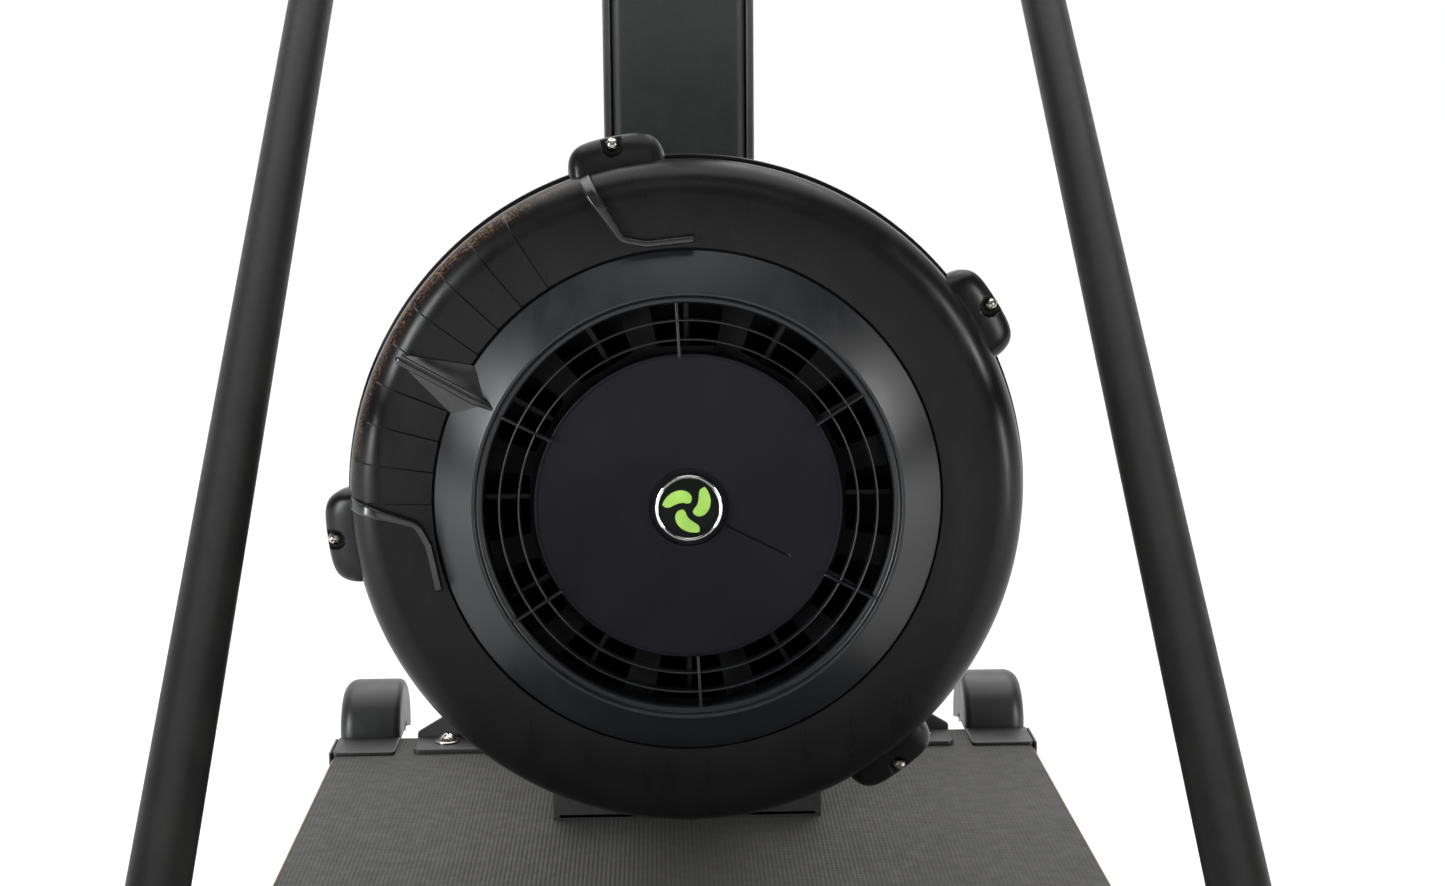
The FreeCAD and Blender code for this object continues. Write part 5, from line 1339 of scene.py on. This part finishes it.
@dataclass
class Column:
    """Channel with two side rails, and the moulded covers in front of it."""

    half: float = 57.5
    rail: float = 6.0
    front: float = 424.0
    back: float = 548.0
    foot: float = 38.0
    top: float = 2056.0
    cover_front: float = 420.0
    cover_low: float = 476.0
    cover_top: float = 2040.0
    cover_deep: float = 30.0
    shroud_front: float = 203.0

    def build(self) -> None:
        """Builds the channel, the long cover and the drive cover."""
        h, r = self.half, self.half - self.rail
        channel = rounded([(-h, self.front), (-r, self.front), (-r, self.back - 4), (r, self.back - 4),
                           (r, self.front), (h, self.front), (h, self.back), (-h, self.back)],
                          [1.6, 1.6, 1, 1, 1.6, 1.6, 3.5, 3.5], 5)
        Skin().slab(TOP, channel, self.foot, self.top, 0.5, 2).piece(
            "column_rails", RAIL, "frame", "column_metal", "column_channel")
        f = self.cover_front
        narrow, deep = r - 1.3, f + self.cover_deep
        cover = rounded([(-narrow, f), (narrow, f), (narrow, f + 9), (r, f + 9), (r, deep), (r - 3, deep),
                         (r - 3, f + 3), (3 - r, f + 3), (3 - r, deep), (-r, deep), (-r, f + 9),
                         (-narrow, f + 9)],
                        [7, 7, 0.4, 0.4, 0.5, 0.5, 4, 4, 0.5, 0.5, 0.4, 0.4], 9)
        Skin().slab(TOP, cover, self.cover_low, self.cover_top, 0.6, 2).piece(
            "column_front_panel", COVER, "frame", "cover_plastic", "column_cover")
        front, rear = self.shroud_front, self.front
        outline = rounded([(front, 236), (rear - 40, 100), (rear, 100), (rear, 476), (rear - 14, 476),
                           (front, 426)], [1, 20, 1, 1, 14, 1], 8)
        Skin().slab(SIDE, outline, -h, h, 7.0, 6).piece(
            "drive_shroud", COVER, "frame", "cover_plastic", "drive_cover")


@dataclass
class Head:
    """Swept head with its two cord exits."""

    base: float = 2040.0
    split: float = 2098.0
    top: float = 2160.0
    exit_x: float = 200.0
    exit_y: float = 300.0
    gap: float = 1.6

    def wing(self) -> Array:
        """Returns the plan outline, swept forward to both exits."""
        tip, back, half = self.exit_x + 40, 556.0, 73.5
        near, front, notch = self.exit_x - 34, self.exit_y - 38, 61.5
        points = [(-half, back), (-tip, self.exit_y + 52), (-tip, front), (-near, front), (-notch, 390),
                  (notch, 390), (near, front), (tip, front), (tip, self.exit_y + 52), (half, back)]
        return rounded(points, [30, 34, 26, 22, 26, 26, 22, 26, 34, 30], 10)

    def build(self) -> None:
        """Builds the two shells with a shadow gap between them, and the grommets."""
        wing, half = self.wing(), self.gap / 2
        Skin().slab(TOP, wing, self.base, self.split - half, 1.0, 4, 9.0).piece(
            "head_tray", FENDER, "frame", "cover_plastic", "head_lower_shell")
        upper = Skin().slab(TOP, wing, self.split + half, self.top, 20.0, 12, 1.0)
        upper.slab(TOP, inset(wing, 2.2), self.split - 3, self.split + 4, 0.2, 2)
        upper.piece("head_lid", FENDER, "frame", "cover_plastic", "head_upper_shell", crease=40)
        rings = Skin()
        for side in (-1, 1):
            seat = Seat((self.exit_x * side, self.exit_y, self.base), (1, 0, 0), (0, -1, 0), (0, 0, -1))
            ring = closed_profile([(3.4, -1), (11.5, -1), (12.5, 1.6), (9, 4.2), (5.2, 4.4), (3.4, 2)],
                                  [0.2, 0.3, 1.2, 1.4, 1.6, 1], 5)
            rings.lathe(seat, ring)
        rings.piece("cord_grommets", RUBBER, "frame", "cover_plastic", crease=45)


@dataclass
class Handle:
    """Hanging handle: ribbed grip, neck, webbing strap with stitches, and the cord above it."""

    side: int
    x: float = 200.0
    y: float = 300.0
    level: float = 1986.0
    half: float = 66.0
    strap: float = 58.0
    strap_wide: float = 22.0
    strap_thick: float = 2.3
    strap_angles: tuple[float, float] = (194.0, 346.0)
    strap_length: float = 150.0
    cord: float = 2.5
    cord_low: float = 2026.0
    cord_top: float = 2040.0
    cord_hidden: float = 4.0
    grip: float = 14.4
    rib_pitch: float = 7.5
    rib_high: float = 0.45
    stitch_rows: tuple[float, ...] = (-7.0, -2.4, 2.4, 7.0)
    stitch_ends: tuple[float, ...] = (206.0, 334.0)
    stitches: int = 5
    stitch: tuple[float, float] = (1.1, 0.38)

    def build(self) -> None:
        """Builds the four pieces of one handle."""
        name = side_name(self.side)
        body = f"handle_{name}"
        x = self.x * self.side
        seat = Seat((x, self.y, self.level), (0, 1, 0), (0, 0, 1), (1, 0, 0))
        along = np.linspace(-self.half, self.half, 133)
        place = np.abs(along) / self.half
        swell = 1.6 * np.cos(place * np.pi * 2) * (place > 0.5) + 1.2 * np.exp(-(place / 0.14) ** 2)
        ribs = self.rib_high * np.cos(along * 2 * np.pi / self.rib_pitch) * (place > 0.2) * (place < 0.78)
        end = np.sqrt(np.clip(1 - ((place - 0.93) / 0.07).clip(0) ** 2, 0, 1))
        radius = (self.grip + swell + ribs) * (0.55 + 0.45 * end)
        profile = np.concatenate([[[POLE, -self.half]], np.stack([radius, along], -1), [[POLE, self.half]]])
        skin = Skin().lathe(seat, profile, np.linspace(0, 360, 65))
        neck = rounded([(POLE, 8), (12.5, 8), (10.5, 15), (9.4, 22), (7.4, 38), (5.2, 40), (POLE, 40)],
                       [0.1, 1, 3, 6, 2.2, 1, 0.1], 6, False)
        skin.lathe(TOP.at(x, self.y, self.level), neck, np.linspace(0, 360, 49))
        skin.piece(f"grip_{name}", GRIP, body, "grip", f"handle_grip_{name}", crease=45)
        loop = FRONT.at(x, self.level, -self.y)
        arc = polar(self.strap - 1.2, np.radians(np.linspace(*self.strap_angles, 61)))
        path = loop.world(np.column_stack([arc, np.zeros(61)]))
        half, thick = self.strap_wide / 2, self.strap_thick / 2
        band = rectangle(-half, half, -thick, thick, 0.9, 3)
        strap = Skin().sweep(path, band, np.array([0, 1.0, 0]), 2 * self.strap_wide + 5, self.strap_length)
        strap.piece(f"strap_{name}", WEBBING, body, "strap", f"handle_strap_{name}", crease=60)
        self.build_stitches(name, body, loop)
        hidden = self.cord_hidden
        rows = np.linspace(self.cord_low - hidden, self.cord_top + hidden, 89)
        line = np.stack([np.full(89, x), np.full(89, self.y), rows], -1)
        cord = Skin().sweep(line, circle(self.cord, 20), np.array([1.0, 0, 0])).piece(
            f"pull_cord_{name}", NYLON, body, "cord", f"handle_cord_{name}", crease=60, loose=True)
        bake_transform(cord)

    def build_stitches(self, name: str, body: str, loop: Seat) -> None:
        """Builds two boxes of stitches where the strap ends are sewn.

        A stitch is a short straight bar whose thickness is (1.05 - s^2)^(1/2), s from -1 to 1 along it.

        Args:
            name: left or right.
            body: The handle's body.
            loop: The middle of the strap's loop.
        """
        stitches = Skin()
        half, thick = self.stitch
        s = np.linspace(-1, 1, 7)
        for end in self.stitch_ends:
            for row in self.stitch_rows:
                for k in range(self.stitches):
                    turned = loop.spun(end + (k - self.stitches // 2) * 3.0)
                    bar = np.stack([np.full(7, self.strap + 0.05), s * half, np.full(7, -row)], -1)
                    stitches.sweep(turned.world(bar), circle(thick, 6), np.array([0, 1.0, 0]),
                                   scale=np.sqrt(1.05 - s ** 2))
        stitches.piece(f"strap_stitches_{name}", THREAD, body, "strap", crease=60)


@dataclass
class Monitor:
    """Monitor on its arm: case, bezel with window and keys, and the display."""

    level: float = 1560.0
    half: float = 102.0
    tall: float = 75.0
    front: float = 298.0
    back: float = 340.0
    bezel: float = 10.0
    hinge_y: float = 366.0
    hinge: float = 9.9
    corner: float = 14.0
    arm_front: float = 415.0
    arm_back: float = 420.0
    arm_half: tuple[float, float] = (30.0, 40.0)
    tongue: float = 14.0
    ear: tuple[float, float] = (14.4, 24.0)
    vents: int = 6
    vent_pitch: float = 7.0
    window_half: tuple[float, float] = (66.0, 42.0)
    window_rise: float = 18.0
    keys: int = 5
    key_pitch: float = 34.0
    key_half: tuple[float, float] = (13.0, 6.0)
    key_drop: float = 50.0
    key_proud: float = 2.2

    def build(self) -> None:
        """Builds the arm, case, bezel, display and keys."""
        z, h, t, face, pin = self.level, self.half, self.tall, self.arm_front, self.hinge
        wide, high = self.arm_half
        plate = Skin().slab(FRONT, rectangle(-wide, wide, z - high, z + high, 8), -self.arm_back, -face,
                            1.5, 4, 0.2)
        tongue = rounded([(self.hinge_y - pin, z - pin), (face + 0.5, z - pin), (face + 0.5, z + pin),
                          (self.hinge_y - pin, z + pin)], [9.6, 1, 1, 9.6], 8)
        plate.slab(SIDE, tongue, -self.tongue, self.tongue, 1.2, 3)
        for x, dz in ((-20, -28), (20, -28), (-20, 28), (20, 28)):
            pan_screw(plate, FRONT.at(x, z + dz, -face), 4.4, 2.6, 20 + x)
        plate.piece("monitor_bracket", PLATE, "frame", "cover_plastic", "monitor_arm")
        body = rectangle(-h, h, z - t, z + t, self.corner, 8)
        case = Skin().slab(FRONT, body, -self.back, -self.front - self.bezel, 0.6, 3, 9.0)
        end = pin - 0.1
        ear = rounded([(self.back - 4, z - 10), (self.hinge_y + end, z - end),
                       (self.hinge_y + end, z + end), (self.back - 4, z + 10)], [1, 9.6, 9.6, 1], 8)
        for side in (-1, 1):
            case.slab(SIDE, ear, *sorted(side * x for x in self.ear), 1.0, 3)
        rib = rectangle(-52, 52, -1.5, 1.5, 1.4, 4)
        for k in range(self.vents):
            case.slab(FRONT.at(0, z - 54 + self.vent_pitch * k, -self.back), rib, -1.0, 0.6, 0.4, 2)
        case.piece("monitor_back", CASE, "monitor", "monitor_plastic", "monitor_case")
        self.build_bezel(body)
        self.build_keys()

    def window(self) -> tuple[float, float, float, float]:
        """Returns the display window's edges."""
        (wide, high), middle = self.window_half, self.level + self.window_rise
        return -wide, wide, middle - high, middle + high

    def build_bezel(self, body: Array) -> None:
        """Builds the frame round the window from the outline and the display behind it.

        Each row of the bezel blends from the outer outline to the window's outline at equal angles.

        Args:
            body: Outline of the case.
        """
        x0, x1, z0, z1 = self.window()
        level = -self.front
        middle, screen = (0, self.level + self.window_rise), rectangle(x0, x1, z0, z1, 5, 6)
        outer, hole = resample(body, 160, middle), resample(screen, 160, middle)
        rows = [(outer, level - self.bezel), (outer, level - 2.4), (inset(outer, 0.8), level - 0.7),
                (inset(outer, 2.6), level), (inset(hole, -2.2), level), (inset(hole, -0.6), level - 0.5),
                (hole, level - 2.0), (hole, level - self.bezel), (outer, level - self.bezel)]
        points = np.stack([np.column_stack([loop, np.full(len(loop), height)]) for loop, height in rows])
        points = FRONT.world(np.concatenate([points, points[:, :1]], axis=1))
        Skin().grid(points).piece("monitor_frame", CASE, "monitor", "monitor_plastic", "monitor_bezel",
                                  crease=40)
        Skin().slab(FRONT, screen, level - 5.0, level - 2.2, 0.5, 3).piece(
            "display", GLASS, "monitor", "screen", "monitor_screen")

    def build_keys(self) -> None:
        """Builds the soft keys, each with a raised bar on its face."""
        (wide, high), face = self.key_half, self.key_proud - self.front
        for k in range(self.keys):
            x, z = self.key_pitch * (k - (self.keys - 1) / 2), self.level - self.key_drop
            skin = Skin().slab(FRONT, rectangle(x - wide, x + wide, z - high, z + high, 4.5, 6),
                               -self.front - 7, face, 1.4, 4, 0.2)
            skin.slab(FRONT, rectangle(x - 5, x + 5, z - 0.9, z + 0.9, 0.8, 4), face - 0.2, face + 0.3,
                      0.2, 2)
            skin.piece(f"key_{k + 1}_cap", KEY, f"key_{k + 1}", "key", f"monitor_key_{k + 1}")


def resample(loop: Array, count: int, centre: tuple[float, float]) -> Array:
    """Returns a loop's points at equal angles seen from a centre.

    Args:
        loop: Anticlockwise loop as (count, 2).
        count: How many points to return.
        centre: The point that the angles are measured from.
    """
    around = loop - np.asarray(centre)
    closed = close(around)
    s = np.linspace(0, 1, 40, endpoint=False)[None, :, None]
    dense = (closed[:-1, None] * (1 - s) + closed[1:, None] * s).reshape(-1, 2)
    turn = np.arctan2(dense[:, 1], dense[:, 0])
    order = np.argsort(turn)
    want = np.linspace(-np.pi, np.pi, count, endpoint=False)
    reach = np.linalg.norm(dense, axis=1)[order]
    radius = np.interp(want, turn[order], reach, period=2 * np.pi)
    return polar(radius, want) + np.asarray(centre)


# ---------------------------------------------------------------------------- carried-over pieces

CARRIED: dict[Finish, tuple[str, ...]] = {
    # The vent plate's darker black is painted shade.
    BLACK_PAINTED_SHADE: ("vent_plate",),
    CAST: ("flywheel_fan",),
    PLATE: ("drive_bracket",),
    STEEL: ("flywheel_hub", "flywheel_axle", "bearing_front", "bearing_rear", "caster_axles",
            "pulley_axles", "monitor_pin"),
    ACETAL: ("cord_drum_left", "cord_drum_right", "return_pulley", "inner_pulley_left",
             "inner_pulley_right", "outer_pulley_left", "outer_pulley_right"),
    NYLON: ("drive_cord_left", "drive_cord_right", "return_cord"),
}


def dress_carried() -> None:
    """Gives each CAD node that stays its own finish."""
    for finish, nodes in CARRIED.items():
        for node in nodes:
            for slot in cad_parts[node].material_slots:
                slot.material = finish.material()
            LOG.info("%s keeps its CAD shape, finish %s", node, finish.name)


# ------------------------------------------------------------------------------------ the studio

@dataclass
class Studio:
    """Floor, light and camera."""

    place_mm: tuple[float, float, float] = (-17.0, -1221.0, 597.0)
    yaw: float = 1.69
    pitch: float = 9.8
    roll: float = -0.42
    focal_widths: float = 2120 / 1445
    front_level: float = 0.05
    back_level: float = 1.3
    ramp_end: float = 0.8
    ceiling: float = 2.6
    ceiling_angle: float = 70.0
    ceiling_lean: float = -14.0
    sensor: float = 36.0
    reach: float = 14.0

    def build(self) -> None:
        """Builds all three."""
        self.build_floor()
        self.build_light()
        self.build_camera()

    def build_floor(self) -> None:
        """A wide pale floor."""
        mesh = bpy.data.meshes.new("floor")
        r = self.reach
        mesh.from_pydata([(-r, -r, 0), (r, -r, 0), (r, r, 0), (-r, r, 0)], [], [(0, 1, 2, 3)])
        floor = bpy.data.objects.new("floor", mesh)
        bpy.context.scene.collection.objects.link(floor)
        paint = bpy.data.materials.new("pale_floor")
        paint.use_nodes = True
        shader = paint.node_tree.nodes["Principled BSDF"]
        shader.inputs["Base Color"].default_value = (0.9, 0.9, 0.9, 1)
        shader.inputs["Roughness"].default_value = 0.9
        shader.inputs["Specular IOR Level"].default_value = 0.0
        mesh.materials.append(paint)

    def lamp(self, name: str, place: Sequence[float], target: Sequence[float], size: Sequence[float],
             watts: float, tint: Color = (1, 1, 1)) -> None:
        """Adds a rectangular soft light.

        Args:
            name: Its name.
            place: Where it stands, in metres.
            target: What it points at.
            size: Width and height in metres.
            watts: Its power.
            tint: Its colour.
        """
        data = bpy.data.lights.new(name, "AREA")
        data.shape = "RECTANGLE"
        data.size, data.size_y = size
        data.energy = watts
        data.color = tint
        item = bpy.data.objects.new(name, data)
        aim = np.array(target, float) - np.array(place, float)
        out = -aim / np.linalg.norm(aim)
        right = np.cross([0, 0, 1], out)
        right /= max(np.linalg.norm(right), 1e-6)
        up = np.cross(out, right)
        turn = Matrix(np.column_stack([right, up, out]).tolist()).to_4x4()
        item.matrix_world = Matrix.Translation([float(v) for v in place]) @ turn
        bpy.context.scene.collection.objects.link(item)

    def build_light(self) -> None:
        """Lights the machine; the surroundings light it by direction and look plain white themselves.

        Their strength rises smoothly with the y part of a ray, from dim in front to bright behind.
        Tall soft boxes stand at both sides.
        """
        world = bpy.data.worlds.new("studio")
        world.use_nodes = True
        tree = world.node_tree
        back = tree.nodes["Background"]
        back.inputs["Color"].default_value = (1.0, 1.0, 1.0, 1.0)
        ray = tree.nodes.new("ShaderNodeTexCoord").outputs["Generated"]
        split = tree.nodes.new("ShaderNodeSeparateXYZ")
        tree.links.new(ray, split.inputs[0])
        ramp = tree.nodes.new("ShaderNodeMapRange")
        ramp.interpolation_type = "SMOOTHSTEP"
        tree.links.new(split.outputs[1], ramp.inputs["Value"])
        set_range(ramp, 0.0, self.ramp_end, self.front_level, self.back_level)
        seen = tree.nodes.new("ShaderNodeBackground")
        seen.inputs["Color"].default_value = (1.0, 1.0, 1.0, 1.0)
        mix = tree.nodes.new("ShaderNodeMixShader")
        tree.links.new(ramp.outputs[0], back.inputs["Strength"])
        tree.links.new(tree.nodes.new("ShaderNodeLightPath").outputs["Is Camera Ray"], mix.inputs[0])
        tree.links.new(back.outputs[0], mix.inputs[1])
        tree.links.new(seen.outputs[0], mix.inputs[2])
        tree.links.new(mix.outputs[0], tree.nodes["World Output"].inputs["Surface"])
        bpy.context.scene.world = world
        self.lamp("left_box", (-2.7, -1.55, 0.75), (0, 0.1, 0.4), (0.6, 1.9), 115, (0.97, 0.99, 1.0))
        self.lamp("right_box", (2.7, -1.35, 0.75), (0, 0.1, 0.4), (0.5, 1.9), 65, (1.0, 0.99, 0.97))
        self.sun()
        self.lamp("front_fill", (0.1, -3.0, 3.0), (0, 0, 0.3), (2.2, 1.2), 9)

    def sun(self) -> None:
        """A very soft light from above and a little behind, the same all over the floor."""
        data = bpy.data.lights.new("ceiling", "SUN")
        data.energy = self.ceiling
        data.angle = math.radians(self.ceiling_angle)
        item = bpy.data.objects.new("ceiling", data)
        item.rotation_euler = (math.radians(self.ceiling_lean), 0, 0)
        bpy.context.scene.collection.objects.link(item)

    def build_camera(self) -> None:
        """A camera at the viewing place, with no shift and no blur."""
        yaw, pitch, roll = (math.radians(v) for v in (self.yaw, self.pitch, self.roll))
        level = math.cos(pitch)
        ahead = np.array([math.sin(yaw) * level, math.cos(yaw) * level, -math.sin(pitch)])
        right = np.array([math.cos(yaw), -math.sin(yaw), 0])
        up = np.cross(right, ahead)
        right, up = (math.cos(roll) * right + math.sin(roll) * up,
                     math.cos(roll) * up - math.sin(roll) * right)
        data = bpy.data.cameras.new("view")
        data.sensor_width = self.sensor
        data.sensor_fit = "HORIZONTAL"
        data.lens = self.sensor * self.focal_widths
        data.clip_start, data.clip_end = 0.05, 100
        item = bpy.data.objects.new("view", data)
        turn = Matrix(np.column_stack([right, up, -ahead]).tolist()).to_4x4()
        item.matrix_world = Matrix.Translation([v * MM for v in self.place_mm]) @ turn
        bpy.context.scene.collection.objects.link(item)
        bpy.context.scene.camera = item


def main() -> None:
    """Builds the machine and the studio."""
    for part in (FrontCover(), RearHousing(), Damper(), Platform(), Brace(), BoltSet(), Steelwork(),
                 Caster(-1), Caster(1), Column(), Head(), Handle(-1), Handle(1), Monitor()):
        LOG.info("building %s", type(part).__name__)
        part.build()
    dress_carried()
    Studio().build()
    bpy.context.scene.view_settings.view_transform = "Standard"


if __name__ == "__main__":
    main()
